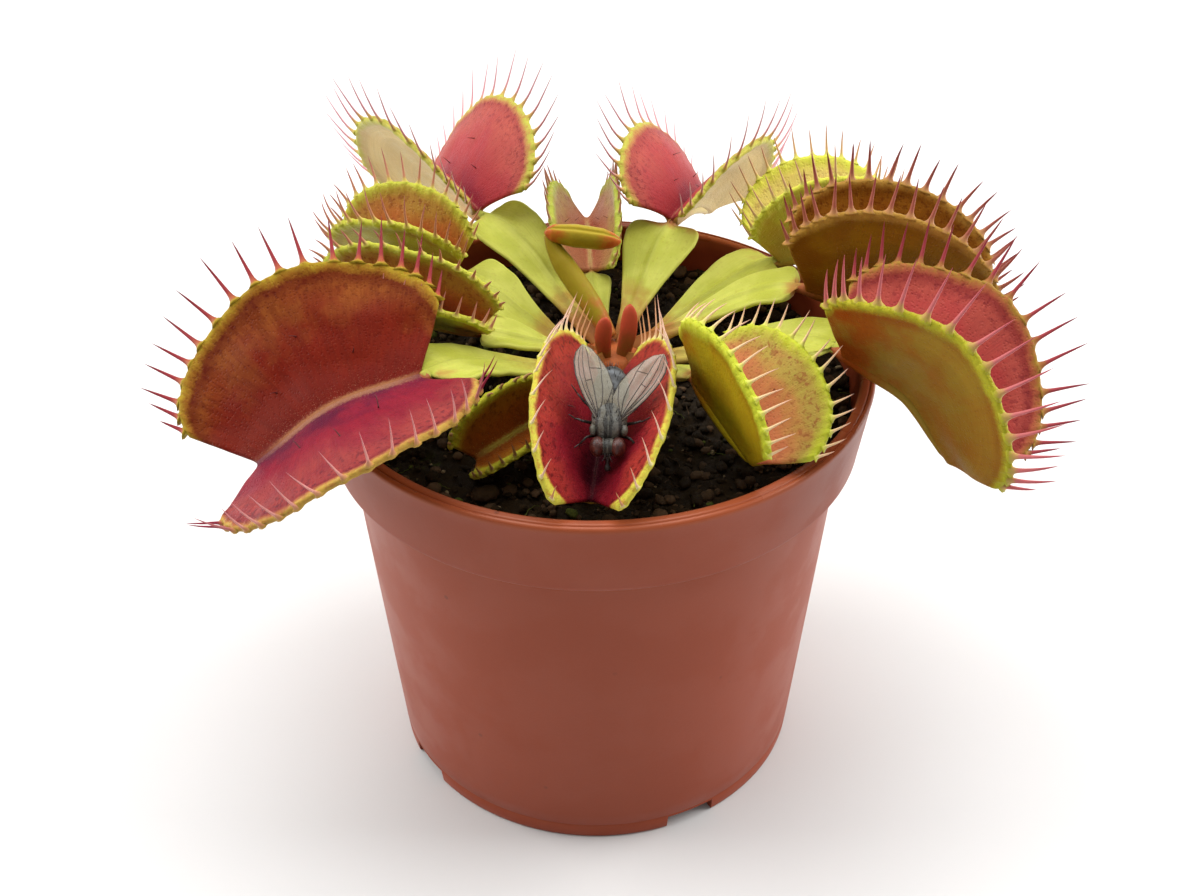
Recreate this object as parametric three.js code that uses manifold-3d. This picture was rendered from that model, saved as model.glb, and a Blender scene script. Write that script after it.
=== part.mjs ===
// Venus flytrap in a small plastic nursery pot, with a fly caught in its front trap.
// Millimetres, +Z up. The pot stands on z = 0, and the viewer is at -Y. Every size below is counted
// from the pot's axis, and the frame's own axis runs through the middle of the plant's outline.
import * as THREE from "three";
import { mergeVertices } from "three/addons/utils/BufferGeometryUtils.js";
import Module from "manifold-3d";

const wasm = await Module();
wasm.setup();

// ---------------------------------------------------------------- driving dimensions
const POT_HEIGHT = 50.5;
const RIM_RADIUS = 30;
const LIP_WIDTH = 1.6;
const COLLAR_HEIGHT = 8.7;
const COLLAR_LOW_RADIUS = 28.9;
const BODY_TOP_RADIUS = 27.05;
const BASE_RADIUS = 23.7;
const WALL = 1.2;
const FLOOR_UNDERSIDE = 2;
const FLOOR_TOP = 3.4;
const NOTCH_WIDTH = 6;
const NOTCH_HEADINGS = [-63, -147, 117, 33];
const DRAIN_HOLE = 3.5;
const DRAIN_CIRCLE = 14;
const POT_SEGMENTS = 40;
const POT_AXIS = [-2.2, -8.8];

const GAP = 0.3;
const SOIL_LEVEL = 45.6;
const CROWN_CENTRE = [2, 3];
const CROWN_RADIUS = 3.2;
const CROWN_TOP = 49.2;

const LOBE_THICKNESS = 0.8;
const BLADE_THICKNESS = 0.9;
const LOBE_ROWS = 7;
const LOBE_COLUMNS = 3;
const CILIUM_RADIUS = 0.27;

// Outline of one lobe for a midrib of length 1: half width along the midrib, height of the
// straight ends, and height of the rounded part above them.
const LOBE_HALF_WIDTH = 0.75;
const LOBE_END_HEIGHT = 0.36;
const LOBE_ARCH_HEIGHT = 0.47;

// Leaf blade: [share of the way from crown to trap, share of the full width].
const BLADE_OUTLINE = [
  [0, 0.2],
  [0.2, 0.3],
  [0.42, 0.58],
  [0.62, 0.88],
  [0.76, 1],
  [0.86, 0.86],
  [0.92, 0.3],
  [1, 0.13],
];

// neck: where the blade meets the trap. heading, pitch: direction of the midrib, counted from +X
// and from level. roll: lean of the opening to the left of that direction. rootSpread, rimSpread:
// how far each lobe stands off the opening direction at the midrib and at the rim, [left, right].
// bow: how far the midrib arches towards the opening. fan: given where the ends of the lobes keep
// out of that arch, how far they spread with it.
// curl: how far the cilia bend in over the trap, [left, right]. leave, arrive: headings of the
// blade at the crown and at the neck. start: height of the blade at the crown.
const LEAVES = [
  {
    name: "leaf_front_left",
    neck: [-17.6, -11.6, 55],
    heading: 201,
    pitch: -20,
    roll: -6,
    length: 17.8,
    rootSpread: [77, 65],
    rimSpread: [84, 50],
    bow: 0.09,
    fan: 0.55,
    breadth: 1.16,
    cilia: 12,
    reach: 6.2,
    curl: [75, 20],
    leave: 196,
    arrive: 232,
    start: 47.3,
    width: 9.8,
  },
  {
    name: "leaf_left_low",
    neck: [-13, 4.2, 50.6],
    heading: 160,
    pitch: 2,
    roll: 28,
    length: 13.8,
    rootSpread: [22, 9],
    rimSpread: [16, 12],
    bow: 0,
    breadth: 0.98,
    cilia: 8,
    reach: 2.4,
    curl: [100, 15],
    leave: 180,
    arrive: 172,
    start: 48.6,
    width: 5,
  },
  {
    name: "leaf_left_middle",
    neck: [-15.7, 12.9, 53],
    heading: 157,
    pitch: -7,
    roll: 17,
    length: 10.8,
    rootSpread: [18, 10],
    rimSpread: [14, 40],
    bow: 0.01,
    breadth: 1.14,
    cilia: 9,
    reach: 4,
    curl: [30, 10],
    leave: 150,
    arrive: 146,
    start: 47.2,
    width: 7.5,
  },
  {
    name: "leaf_back_left",
    neck: [-14.1, 25, 54],
    heading: 120,
    pitch: -19,
    roll: 0,
    length: 14.2,
    rootSpread: [30, 33],
    rimSpread: [40, 50],
    bow: 0.1,
    breadth: 1.16,
    cilia: 11,
    reach: 5.6,
    curl: [10, 10],
    leave: 122,
    arrive: 150,
    start: 48.7,
    width: 8,
  },
  {
    name: "leaf_back_small",
    neck: [-0.5, 18.1, 50],
    heading: 93,
    pitch: 9,
    roll: 4,
    length: 9.4,
    rootSpread: [43, 47],
    rimSpread: [19, 10],
    bow: 0.02,
    breadth: 1.06,
    cilia: 6,
    reach: 2.2,
    curl: [10, 10],
    leave: 100,
    arrive: 88,
    start: 47.2,
    width: 4.6,
  },
  {
    name: "leaf_back_right",
    neck: [9.1, 23.1, 53.8],
    heading: 66,
    pitch: -21,
    roll: -6,
    length: 13,
    rootSpread: [30, 26],
    rimSpread: [70, 38],
    bow: 0.11,
    breadth: 1.1,
    cilia: 11,
    reach: 5.4,
    curl: [10, 30],
    leave: 74,
    arrive: 66,
    start: 48.7,
    width: 8.6,
  },
  {
    name: "leaf_right_back",
    neck: [21.2, 17.4, 51.9],
    heading: 7,
    pitch: 7,
    roll: 9,
    length: 10.7,
    rootSpread: [48, 34],
    rimSpread: [26, 16],
    bow: 0.02,
    breadth: 1.3,
    cilia: 9,
    reach: 4,
    curl: [40, 25],
    leave: 44,
    arrive: 25,
    start: 47.4,
    width: 6.6,
  },
  {
    name: "leaf_right_middle",
    neck: [23.2, 6.7, 54.5],
    heading: -9,
    pitch: -16,
    roll: 9,
    length: 15,
    rootSpread: [32, 36],
    rimSpread: [6, 9],
    bow: 0.01,
    breadth: 1.12,
    cilia: 11,
    reach: 4.4,
    curl: [25, 25],
    leave: 26,
    arrive: -20,
    start: 48.9,
    width: 6,
  },
  {
    name: "leaf_front_right",
    neck: [25.4, -8, 55.6],
    heading: -35,
    pitch: -33,
    roll: 26,
    length: 15.3,
    rootSpread: [44, 62],
    rimSpread: [18, 33],
    bow: 0.12,
    fan: 0.25,
    breadth: 1.15,
    cilia: 12,
    reach: 6.8,
    curl: [30, 25],
    leave: 4,
    arrive: -48,
    start: 47.3,
    width: 8.5,
  },
  {
    name: "leaf_front_low",
    neck: [10.3, -10.8, 54.2],
    heading: -63,
    pitch: -15,
    roll: 28,
    length: 12.6,
    rootSpread: [50, 48],
    rimSpread: [10, 22],
    bow: 0,
    breadth: 1.04,
    cilia: 9,
    reach: 3.6,
    curl: [20, 70],
    leave: -44,
    arrive: -50,
    start: 48.8,
    width: 4.6,
  },
  {
    name: "leaf_with_fly",
    neck: [1.3, -9, 50.8],
    heading: -96,
    pitch: -5,
    roll: 7,
    length: 15.6,
    rootSpread: [30, 42],
    rimSpread: [40, 42],
    bow: 0.02,
    breadth: 0.84,
    cilia: 9,
    reach: 3,
    curl: [10, 10],
    leave: -92,
    arrive: -94,
    start: 47.6,
    width: 5.4,
  },
  {
    name: "leaf_front_small",
    neck: [-5.7, -9.6, 48.6],
    heading: 217,
    pitch: -11,
    roll: 30,
    length: 8.1,
    rootSpread: [48, 50],
    rimSpread: [16, 16],
    bow: 0,
    breadth: 0.97,
    cilia: 7,
    reach: 1.6,
    curl: [60, 40],
    leave: 236,
    arrive: 222,
    start: 48.9,
    width: 4,
  },
];

const COLOURS = {
  pot: 0x9a5238,
  soil: 0x241d19,
  crown: 0x8c3b24,
  leaf: 0xa9b04a,
  youngLeaf: 0xb9713f,
  shoot: 0xc2562f,
  fly: 0x39383a,
  peat: 0x3a2c20,
};

// ---------------------------------------------------------------- small helpers
const radians = THREE.MathUtils.degToRad;

function vec(x, y, z) {
  return new THREE.Vector3(x, y, z);
}

function headingVector(degrees, pitch = 0) {
  const h = radians(degrees);
  const p = radians(pitch);
  return vec(Math.cos(h) * Math.cos(p), Math.sin(h) * Math.cos(p), Math.sin(p));
}

function smooth(from, to, x) {
  const t = Math.min(1, Math.max(0, (x - from) / (to - from)));
  return t * t * (3 - 2 * t);
}

function interpolate(table, x) {
  for (let i = 1; i < table.length; i++) {
    const [x0, y0] = table[i - 1];
    const [x1, y1] = table[i];
    if (x <= x1) {
      return y0 + ((y1 - y0) * (x - x0)) / (x1 - x0);
    }
  }
  return table[table.length - 1][1];
}

// A closed three.js geometry as a solid, turned right side out.
function solidOf(geometry) {
  const bare = geometry.clone();
  bare.deleteAttribute("normal");
  bare.deleteAttribute("uv");
  const merged = mergeVertices(bare, 1e-4);
  const index = Array.from(merged.index.array);
  const build = (faces) =>
    new wasm.Manifold(
      new wasm.Mesh({
        numProp: 3,
        vertProperties: new Float32Array(merged.attributes.position.array),
        triVerts: new Uint32Array(faces),
      }),
    );
  const made = build(index);
  if (made.volume() > 0) {
    return made;
  }
  for (let i = 0; i < index.length; i += 3) {
    [index[i + 1], index[i + 2]] = [index[i + 2], index[i + 1]];
  }
  return build(index);
}

function geometryOf(points, faces) {
  const geometry = new THREE.BufferGeometry();
  geometry.setAttribute("position", new THREE.Float32BufferAttribute(points, 3));
  geometry.setIndex(faces);
  return geometry;
}

// A curved sheet of even rows and columns, given a thickness.
function sheet(rows, columns, pointAt, thicknessAt) {
  const middle = [];
  for (let i = 0; i <= rows; i++) {
    for (let j = 0; j <= columns; j++) {
      middle.push(pointAt(i / rows, j / columns));
    }
  }
  const at = (i, j) =>
    middle[
      Math.min(rows, Math.max(0, i)) * (columns + 1) +
        Math.min(columns, Math.max(0, j))
    ];
  const points = [];
  for (const sign of [1, -1]) {
    for (let i = 0; i <= rows; i++) {
      for (let j = 0; j <= columns; j++) {
        const along = at(i + 1, j).clone().sub(at(i - 1, j));
        const across = at(i, j + 1).clone().sub(at(i, j - 1));
        const normal = along.cross(across).normalize();
        const half = (sign * thicknessAt(i / rows, j / columns)) / 2;
        points.push(...at(i, j).clone().addScaledVector(normal, half).toArray());
      }
    }
  }
  const n = (rows + 1) * (columns + 1);
  const id = (i, j) => i * (columns + 1) + j;
  const faces = [];
  const quad = (a, b, c, d) => faces.push(a, b, c, a, c, d);
  for (let i = 0; i < rows; i++) {
    for (let j = 0; j < columns; j++) {
      quad(id(i, j), id(i + 1, j), id(i + 1, j + 1), id(i, j + 1));
      quad(n + id(i, j), n + id(i, j + 1), n + id(i + 1, j + 1), n + id(i + 1, j));
    }
  }
  for (let i = 0; i < rows; i++) {
    quad(id(i, 0), n + id(i, 0), n + id(i + 1, 0), id(i + 1, 0));
    quad(id(i + 1, columns), n + id(i + 1, columns), n + id(i, columns), id(i, columns));
  }
  for (let j = 0; j < columns; j++) {
    quad(id(0, j + 1), n + id(0, j + 1), n + id(0, j), id(0, j));
    quad(id(rows, j), n + id(rows, j), n + id(rows, j + 1), id(rows, j + 1));
  }
  return solidOf(geometryOf(points, faces));
}

// A tapering rod of a few flat sides through the given points.
function rod(points, radii, sides) {
  const rings = [];
  const last = points.length - 1;
  for (let i = 0; i <= last; i++) {
    const ahead = points[Math.min(last, i + 1)];
    const behind = points[Math.max(0, i - 1)];
    const along = ahead.clone().sub(behind).normalize();
    const lead = Math.abs(along.z) > 0.9 ? vec(1, 0, 0) : vec(0, 0, 1);
    const side = along.clone().cross(lead).normalize();
    const up = side.clone().cross(along).normalize();
    for (let k = 0; k < sides; k++) {
      const a = (2 * Math.PI * k) / sides;
      rings.push(
        points[i]
          .clone()
          .addScaledVector(side, radii[i] * Math.cos(a))
          .addScaledVector(up, radii[i] * Math.sin(a)),
      );
    }
  }
  const faces = [];
  for (let i = 0; i < last; i++) {
    for (let k = 0; k < sides; k++) {
      const a = i * sides + k;
      const b = i * sides + ((k + 1) % sides);
      faces.push(a, b, b + sides, a, b + sides, a + sides);
    }
  }
  for (let k = 1; k < sides - 1; k++) {
    faces.push(0, k + 1, k);
    const e = last * sides;
    faces.push(e, e + k, e + k + 1);
  }
  return solidOf(geometryOf(rings.flatMap((p) => p.toArray()), faces));
}

// A three-sided spike.
function spike(foot, tip, radius) {
  const length = tip.distanceTo(foot);
  const geometry = new THREE.ConeGeometry(radius, length, 3);
  geometry.translate(0, length / 2, 0);
  const lean = tip.clone().sub(foot).normalize();
  geometry.applyQuaternion(new THREE.Quaternion().setFromUnitVectors(vec(0, 1, 0), lean));
  geometry.translate(...foot.toArray());
  return solidOf(geometry);
}

// A solid turned from a profile of [radius, height] pairs that starts and ends on the axis.
function turned(profile, segments, x = 0, y = 0) {
  const geometry = new THREE.LatheGeometry(
    profile.map(([r, z]) => new THREE.Vector2(r, z)),
    segments,
  );
  geometry.rotateX(Math.PI / 2);
  geometry.translate(x, y, 0);
  return solidOf(geometry);
}

function cylinder(radius, low, high, segments, x = 0, y = 0) {
  const geometry = new THREE.CylinderGeometry(radius, radius, high - low, segments);
  geometry.rotateX(Math.PI / 2);
  geometry.translate(x, y, (low + high) / 2);
  return solidOf(geometry);
}

function ellipsoid(centre, size, turn, around, rings) {
  const geometry = new THREE.SphereGeometry(1, around, rings);
  geometry.scale(...size);
  geometry.applyQuaternion(turn);
  geometry.translate(...centre.toArray());
  return solidOf(geometry);
}

const part = new THREE.Group();
part.name = "potted_venus_flytrap";
const pottedPlant = new THREE.Group();
pottedPlant.position.set(...POT_AXIS, 0);
part.add(pottedPlant);

function addPiece(name, solid, colour, roughness) {
  const made = solid.getMesh();
  const geometry = geometryOf(Array.from(made.vertProperties), Array.from(made.triVerts));
  geometry.computeVertexNormals();
  const material = new THREE.MeshStandardMaterial({ color: colour, roughness, metalness: 0 });
  const mesh = new THREE.Mesh(geometry, material);
  mesh.name = name;
  pottedPlant.add(mesh);
}

// ---------------------------------------------------------------- pot
const COLLAR_FOOT = POT_HEIGHT - COLLAR_HEIGHT;

function makePot() {
  const inner = RIM_RADIUS - LIP_WIDTH;
  let pot = turned(
    [
      [0, FLOOR_UNDERSIDE],
      [BASE_RADIUS - 2.2, FLOOR_UNDERSIDE],
      [BASE_RADIUS - 1.5, 0],
      [BASE_RADIUS - 0.2, 0],
      [BASE_RADIUS, 0.3],
      [BODY_TOP_RADIUS, COLLAR_FOOT],
      [COLLAR_LOW_RADIUS - 0.3, COLLAR_FOOT],
      [COLLAR_LOW_RADIUS, COLLAR_FOOT + 0.3],
      [RIM_RADIUS, POT_HEIGHT - 0.4],
      [RIM_RADIUS - 0.35, POT_HEIGHT],
      [inner + 0.25, POT_HEIGHT],
      [inner, POT_HEIGHT - 0.3],
      [COLLAR_LOW_RADIUS - WALL - 0.3, COLLAR_FOOT + 1],
      [BODY_TOP_RADIUS - WALL, COLLAR_FOOT - 0.6],
      [BASE_RADIUS - WALL, FLOOR_TOP + 0.8],
      [BASE_RADIUS - WALL - 0.7, FLOOR_TOP],
      [0, FLOOR_TOP],
    ],
    POT_SEGMENTS,
  );
  for (const heading of NOTCH_HEADINGS) {
    const notch = new THREE.BoxGeometry(6, NOTCH_WIDTH, 2 * FLOOR_UNDERSIDE - 0.2);
    notch.translate(BASE_RADIUS, 0, 0);
    notch.rotateZ(radians(heading));
    pot = pot.subtract(solidOf(notch));
  }
  for (let i = 0; i < 4; i++) {
    const spot = headingVector(45 + 90 * i).multiplyScalar(DRAIN_CIRCLE);
    const hole = cylinder(DRAIN_HOLE / 2, 1, FLOOR_TOP + 1, 12, spot.x, spot.y);
    pot = pot.subtract(hole);
  }
  addPiece("pot", pot, COLOURS.pot, 0.5);
}

// ---------------------------------------------------------------- soil
const SOIL_RINGS = [0.22, 0.45, 0.66, 0.85, 1];
const SOIL_SPOKES = 24;

// Height of the soil surface: lower at the front, with gentle hummocks.
function soilHeight(x, y) {
  const slope = 0.022 * y;
  const hummocks = 0.35 * Math.sin(0.42 * x + 1) * Math.sin(0.37 * y - 0.5);
  return SOIL_LEVEL + slope + hummocks;
}

function makeSoil() {
  const topRadius = RIM_RADIUS - LIP_WIDTH - 1.2;
  const wall = [
    [COLLAR_LOW_RADIUS - WALL - 0.3 - GAP - 0.15, COLLAR_FOOT + 1.15],
    [BODY_TOP_RADIUS - WALL - GAP - 0.1, COLLAR_FOOT - 0.5],
    [BASE_RADIUS - WALL - GAP - 0.15, FLOOR_TOP + 0.9],
    [BASE_RADIUS - WALL - 0.7 - GAP, FLOOR_TOP + GAP],
  ];
  const points = [0, 0, soilHeight(0, 0)];
  const circle = (radius, heightAt) => {
    for (let k = 0; k < SOIL_SPOKES; k++) {
      const p = headingVector((360 * k) / SOIL_SPOKES).multiplyScalar(radius);
      points.push(p.x, p.y, heightAt(p.x, p.y));
    }
  };
  for (const share of SOIL_RINGS) {
    circle(share * topRadius, soilHeight);
  }
  for (const [radius, z] of wall) {
    circle(radius, () => z);
  }
  points.push(0, 0, FLOOR_TOP + GAP);
  const rings = SOIL_RINGS.length + wall.length;
  const foot = 1 + rings * SOIL_SPOKES;
  const faces = [];
  for (let k = 0; k < SOIL_SPOKES; k++) {
    const next = (k + 1) % SOIL_SPOKES;
    faces.push(0, 1 + k, 1 + next);
    for (let r = 0; r < rings - 1; r++) {
      const a = 1 + r * SOIL_SPOKES + k;
      const b = 1 + r * SOIL_SPOKES + next;
      faces.push(a, a + SOIL_SPOKES, b + SOIL_SPOKES, a, b + SOIL_SPOKES, b);
    }
    const low = 1 + (rings - 1) * SOIL_SPOKES;
    faces.push(foot, low + next, low + k);
  }
  const pocket = cylinder(CROWN_RADIUS + GAP, 41.7, 50, 20, ...CROWN_CENTRE);
  const soil = solidOf(geometryOf(points, faces)).subtract(pocket);
  addPiece("soil", soil, COLOURS.soil, 0.95);
}

// ---------------------------------------------------------------- crown and shoots
function makeCrown() {
  const profile = [
    [0, 42],
    [CROWN_RADIUS - 0.8, 42],
    [CROWN_RADIUS, 43.5],
    [CROWN_RADIUS, CROWN_TOP - 0.6],
    [CROWN_RADIUS - 1, CROWN_TOP],
    [0, CROWN_TOP + 0.1],
  ];
  const crown = turned(profile, 18, ...CROWN_CENTRE);
  addPiece("crown", crown, COLOURS.crown, 0.6);
}

function makeShoot(name, foot, tip, radius) {
  const a = vec(...foot);
  const b = vec(...tip);
  const along = (t) => a.clone().lerp(b, t);
  const solid = rod(
    [along(0), along(0.5), along(0.88), along(1)],
    [radius * 0.8, radius, radius * 0.8, radius * 0.35],
    8,
  );
  addPiece(name, solid, COLOURS.shoot, 0.5);
}

// ---------------------------------------------------------------- leaves
// The frame of a trap: along its midrib, to its left, and out of its opening.
function trapFrame(leaf) {
  const along = headingVector(leaf.heading, leaf.pitch);
  const left = vec(0, 0, 1).cross(along).normalize();
  const up = along.clone().cross(left).normalize();
  const r = radians(leaf.roll);
  const opening = up
    .clone()
    .multiplyScalar(Math.cos(r))
    .addScaledVector(left, Math.sin(r));
  const side = opening.clone().cross(along).normalize();
  return { neck: vec(...leaf.neck), along, side, opening };
}

// A point of a trap: s runs along the midrib, t from the midrib (0) to the rim (1).
function trapPoint(leaf, frame, hand, s, t) {
  const size = leaf.length;
  const x = size * (s + (0.5 - LOBE_HALF_WIDTH * Math.cos(Math.PI * s) - s) * t);
  const full = (LOBE_END_HEIGHT + LOBE_ARCH_HEIGHT) * size * leaf.breadth;
  const reach = LOBE_END_HEIGHT + LOBE_ARCH_HEIGHT * Math.sin(Math.PI * s);
  const v = reach * t * size * leaf.breadth;
  const pick = hand > 0 ? 0 : 1;
  const root = radians(leaf.rootSpread[pick]);
  const turn = radians(leaf.rimSpread[pick]) - root || 1e-6;
  const end = root + (turn * v) / full;
  const out = (full * (Math.cos(root) - Math.cos(end))) / turn;
  const rise = (full * (Math.sin(end) - Math.sin(root))) / turn;
  const q = (2 * x) / size - 1;
  const slope = -4 * leaf.bow * q * (leaf.fan ?? 1);
  const scale = 1 / Math.hypot(1, slope);
  const arch = leaf.bow * size * (leaf.fan ? (Math.exp(-1.3 * q * q) - 0.2725) / 0.7275 : 1 - q * q);
  return frame.neck
    .clone()
    .addScaledVector(frame.along, x - slope * scale * rise)
    .addScaledVector(frame.opening, arch + scale * rise)
    .addScaledVector(frame.side, hand * out);
}

function makeTrapSheet(leaf, frame) {
  return sheet(
    LOBE_ROWS,
    2 * LOBE_COLUMNS,
    (s, w) => trapPoint(leaf, frame, w < 0.5 ? -1 : 1, s, Math.abs(2 * w - 1)),
    () => LOBE_THICKNESS,
  );
}

// The teeth along the rim of one lobe: each leaves the rim outwards and leans in over the trap.
function makeCilia(leaf, frame, hand) {
  const curl = radians(leaf.curl[hand > 0 ? 0 : 1]);
  const teeth = [];
  for (let i = 0; i < leaf.cilia; i++) {
    const s = (i + 0.5) / leaf.cilia;
    const rim = trapPoint(leaf, frame, hand, s, 1);
    const inside = trapPoint(leaf, frame, hand, s, 0.85);
    const ahead = trapPoint(leaf, frame, hand, Math.min(1, s + 0.02), 1);
    const outward = rim.clone().sub(inside).normalize();
    const inward = outward.clone().cross(ahead.sub(rim)).normalize();
    if (inward.dot(frame.side) * hand > 0) {
      inward.negate();
    }
    const long = leaf.reach * (0.45 + 0.55 * Math.sin(Math.PI * s) ** 0.6);
    const lean = outward
      .clone()
      .multiplyScalar(Math.cos(curl))
      .addScaledVector(inward, Math.sin(curl));
    const foot = rim.clone().addScaledVector(outward, -0.55);
    const tip = rim.clone().addScaledVector(lean, long);
    teeth.push(spike(foot, tip, CILIUM_RADIUS));
  }
  return teeth;
}

// The centre line of a blade from the crown to the neck of its trap.
function bladeLine(leaf) {
  const out = headingVector(leaf.leave);
  const start = vec(...CROWN_CENTRE, leaf.start).addScaledVector(out, CROWN_RADIUS + GAP);
  const neck = vec(...leaf.neck);
  const span = neck.distanceTo(start);
  const lead = start.clone().addScaledVector(out, 0.4 * span);
  lead.z += leaf.lift ?? 1;
  const arrive = headingVector(leaf.arrive).multiplyScalar(0.3 * span);
  const follow = neck.clone().sub(arrive);
  return new THREE.CubicBezierCurve3(start, lead, follow, neck);
}

function makeBlade(leaf) {
  const line = bladeLine(leaf);
  const rows = BLADE_OUTLINE.length - 1;
  const pointAt = (u, w) => {
    const [share, width] = BLADE_OUTLINE[Math.round(u * rows)];
    const centre = line.getPoint(share);
    const across = line.getTangent(share).cross(vec(0, 0, 1)).normalize();
    const offset = (0.5 - w) * leaf.width * width;
    const point = centre.addScaledVector(across, offset);
    point.z += 0.16 * Math.abs(offset);
    return point;
  };
  return sheet(rows, 2, pointAt, () => BLADE_THICKNESS);
}

function makeLeaf(leaf) {
  const frame = trapFrame(leaf);
  const line = bladeLine(leaf);
  const middle = (s) =>
    trapPoint(leaf, frame, 1, s, 0).addScaledVector(frame.opening, -0.25);
  const keel = rod(
    [line.getPoint(0.88), line.getPoint(0.95), middle(0), middle(0.3), middle(0.65), middle(0.92)],
    [0.5, 0.7, 0.75, 0.75, 0.65, 0.45],
    5,
  );
  const solids = [
    makeTrapSheet(leaf, frame),
    makeBlade(leaf),
    keel,
    ...makeCilia(leaf, frame, 1),
    ...makeCilia(leaf, frame, -1),
  ];
  addPiece(leaf.name, wasm.Manifold.union(solids), COLOURS.leaf, 0.45);
}

// ---------------------------------------------------------------- young leaf with a folded trap
function makeYoungLeaf() {
  const stem = new THREE.CubicBezierCurve3(
    vec(1.6, 4.5, 50.1),
    vec(-0.4, 7.6, 53),
    vec(-4, 11.2, 54.8),
    vec(-5.2, 12.6, 58),
  );
  const stemSolid = rod(
    [0, 0.35, 0.7, 0.92, 1].map((t) => stem.getPoint(t)),
    [0.9, 1.15, 1.2, 0.9, 0.6],
    7,
  );
  const head = vec(-5.4, 12.4, 58.3);
  const tip = vec(2.8, 11.6, 57.6);
  const along = (t) => head.clone().lerp(tip, t);
  const bud = rod(
    [0, 0.12, 0.4, 0.75, 0.93, 1].map(along),
    [0.6, 1.1, 1.4, 1.3, 0.8, 0.4],
    8,
  );
  addPiece("young_leaf", stemSolid.add(bud), COLOURS.youngLeaf, 0.45);
}

// ---------------------------------------------------------------- fly
const FLY_SEAT = [1.4, -20.4, 56.1];
const FLY_HEADING = -94;
const FLY_PITCH = -32;

function makeFly() {
  const along = headingVector(FLY_HEADING, FLY_PITCH);
  const left = vec(0, 0, 1).cross(along).normalize();
  const up = along.clone().cross(left).normalize();
  const basis = new THREE.Matrix4().makeBasis(along, left, up);
  const turn = new THREE.Quaternion().setFromRotationMatrix(basis);
  const at = (x, y, z) =>
    vec(...FLY_SEAT)
      .addScaledVector(along, x)
      .addScaledVector(left, y)
      .addScaledVector(up, z);
  const solids = [
    ellipsoid(at(0, 0, 0), [2.1, 1.8, 1.6], turn, 10, 6),
    ellipsoid(at(-3.6, 0, -0.1), [2.7, 1.7, 1.4], turn, 10, 6),
    ellipsoid(at(2.6, 0, -0.1), [1, 1.45, 1.2], turn, 8, 6),
  ];
  for (const hand of [1, -1]) {
    const root = at(0.3, 1.2 * hand, 1);
    const wing = sheet(
      4,
      2,
      (u, w) => {
        const length = 7.6 * u;
        const width = (w - 0.5) * (0.8 + 2.4 * Math.sin(Math.PI * Math.min(0.86, u * 0.8 + 0.1)));
        const angle = radians(24);
        const x = -length * Math.cos(angle) + width * Math.sin(angle);
        const y = length * Math.sin(angle) + width * Math.cos(angle);
        return root
          .clone()
          .addScaledVector(along, x)
          .addScaledVector(left, hand * y)
          .addScaledVector(up, 0.2 + 0.06 * length);
      },
      () => 0.3,
    );
    solids.push(wing);
    for (const [x, reach, drop, sweep] of [
      [1, 1.8, 0.4, 0.6],
      [0.1, 2.4, 0.6, -0.3],
      [-1, 2.3, 0.6, -1.4],
    ]) {
      const hip = at(x, hand, -0.8);
      const knee = at(x + sweep * 0.4, hand * (1 + reach * 0.55), 0.5);
      const foot = at(x + sweep, hand * (1 + reach * 0.75), 0.5 - drop);
      solids.push(rod([hip, knee, foot], [0.22, 0.18, 0.12], 3));
    }
  }
  addPiece("caught_fly", wasm.Manifold.union(solids), COLOURS.fly, 0.5);
}

// ---------------------------------------------------------------- lumps of peat on the soil
const PEAT_LUMPS = [
  ["peat_lump_front", [-11, -18.5], [1.5, 1, 0.7], 20],
  ["peat_lump_right", [19.5, -12], [1.3, 1, 0.7], -35],
  ["peat_lump_back", [17, 8], [1.2, 0.9, 0.6], 60],
];

function makePeatLump(name, [x, y], size, heading) {
  const turn = new THREE.Quaternion().setFromAxisAngle(vec(0, 0, 1), radians(heading));
  const seat = vec(x, y, soilHeight(x, y) + size[2] + GAP);
  addPiece(name, ellipsoid(seat, size, turn, 8, 5), COLOURS.peat, 0.95);
}

makePot();
makeSoil();
makeCrown();
makeShoot("shoot_left", [1, 1.7, CROWN_TOP + GAP + 0.1], [1.2, 1.6, 54], 0.9);
makeShoot("shoot_right", [3, 1.9, CROWN_TOP + GAP + 0.1], [3.8, 3, 54.8], 0.9);
for (const leaf of LEAVES) {
  makeLeaf(leaf);
}
makeYoungLeaf();
makeFly();
for (const lump of PEAT_LUMPS) {
  makePeatLump(...lump);
}

export default part;
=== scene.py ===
import math
import random
from collections import namedtuple

import bpy
import numpy as np
from bpy.props import FloatProperty, FloatVectorProperty, IntProperty, PointerProperty
from mathutils import Matrix, Vector, noise


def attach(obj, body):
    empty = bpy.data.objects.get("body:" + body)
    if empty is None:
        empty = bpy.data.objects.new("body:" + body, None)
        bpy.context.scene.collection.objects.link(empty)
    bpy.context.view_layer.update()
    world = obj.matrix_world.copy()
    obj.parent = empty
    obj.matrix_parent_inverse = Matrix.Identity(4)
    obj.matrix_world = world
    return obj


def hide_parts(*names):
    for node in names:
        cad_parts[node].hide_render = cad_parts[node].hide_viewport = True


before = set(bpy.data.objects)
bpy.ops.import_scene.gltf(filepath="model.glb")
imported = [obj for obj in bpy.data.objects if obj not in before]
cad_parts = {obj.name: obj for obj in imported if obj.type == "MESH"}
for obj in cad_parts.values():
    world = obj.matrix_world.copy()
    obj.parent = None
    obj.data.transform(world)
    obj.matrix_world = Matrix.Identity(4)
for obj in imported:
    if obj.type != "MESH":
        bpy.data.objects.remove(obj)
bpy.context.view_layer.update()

bl_info = {
    "name": "Potted Venus Flytrap",
    "version": (1, 0, 0),
    "blender": (4, 5, 0),
    "location": "3D View > Sidebar > Flytrap",
    "description": "Grows a potted venus flytrap with toothed traps, peat and a caught fly",
    "category": "Add Mesh",
}

MM = 0.001

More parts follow.
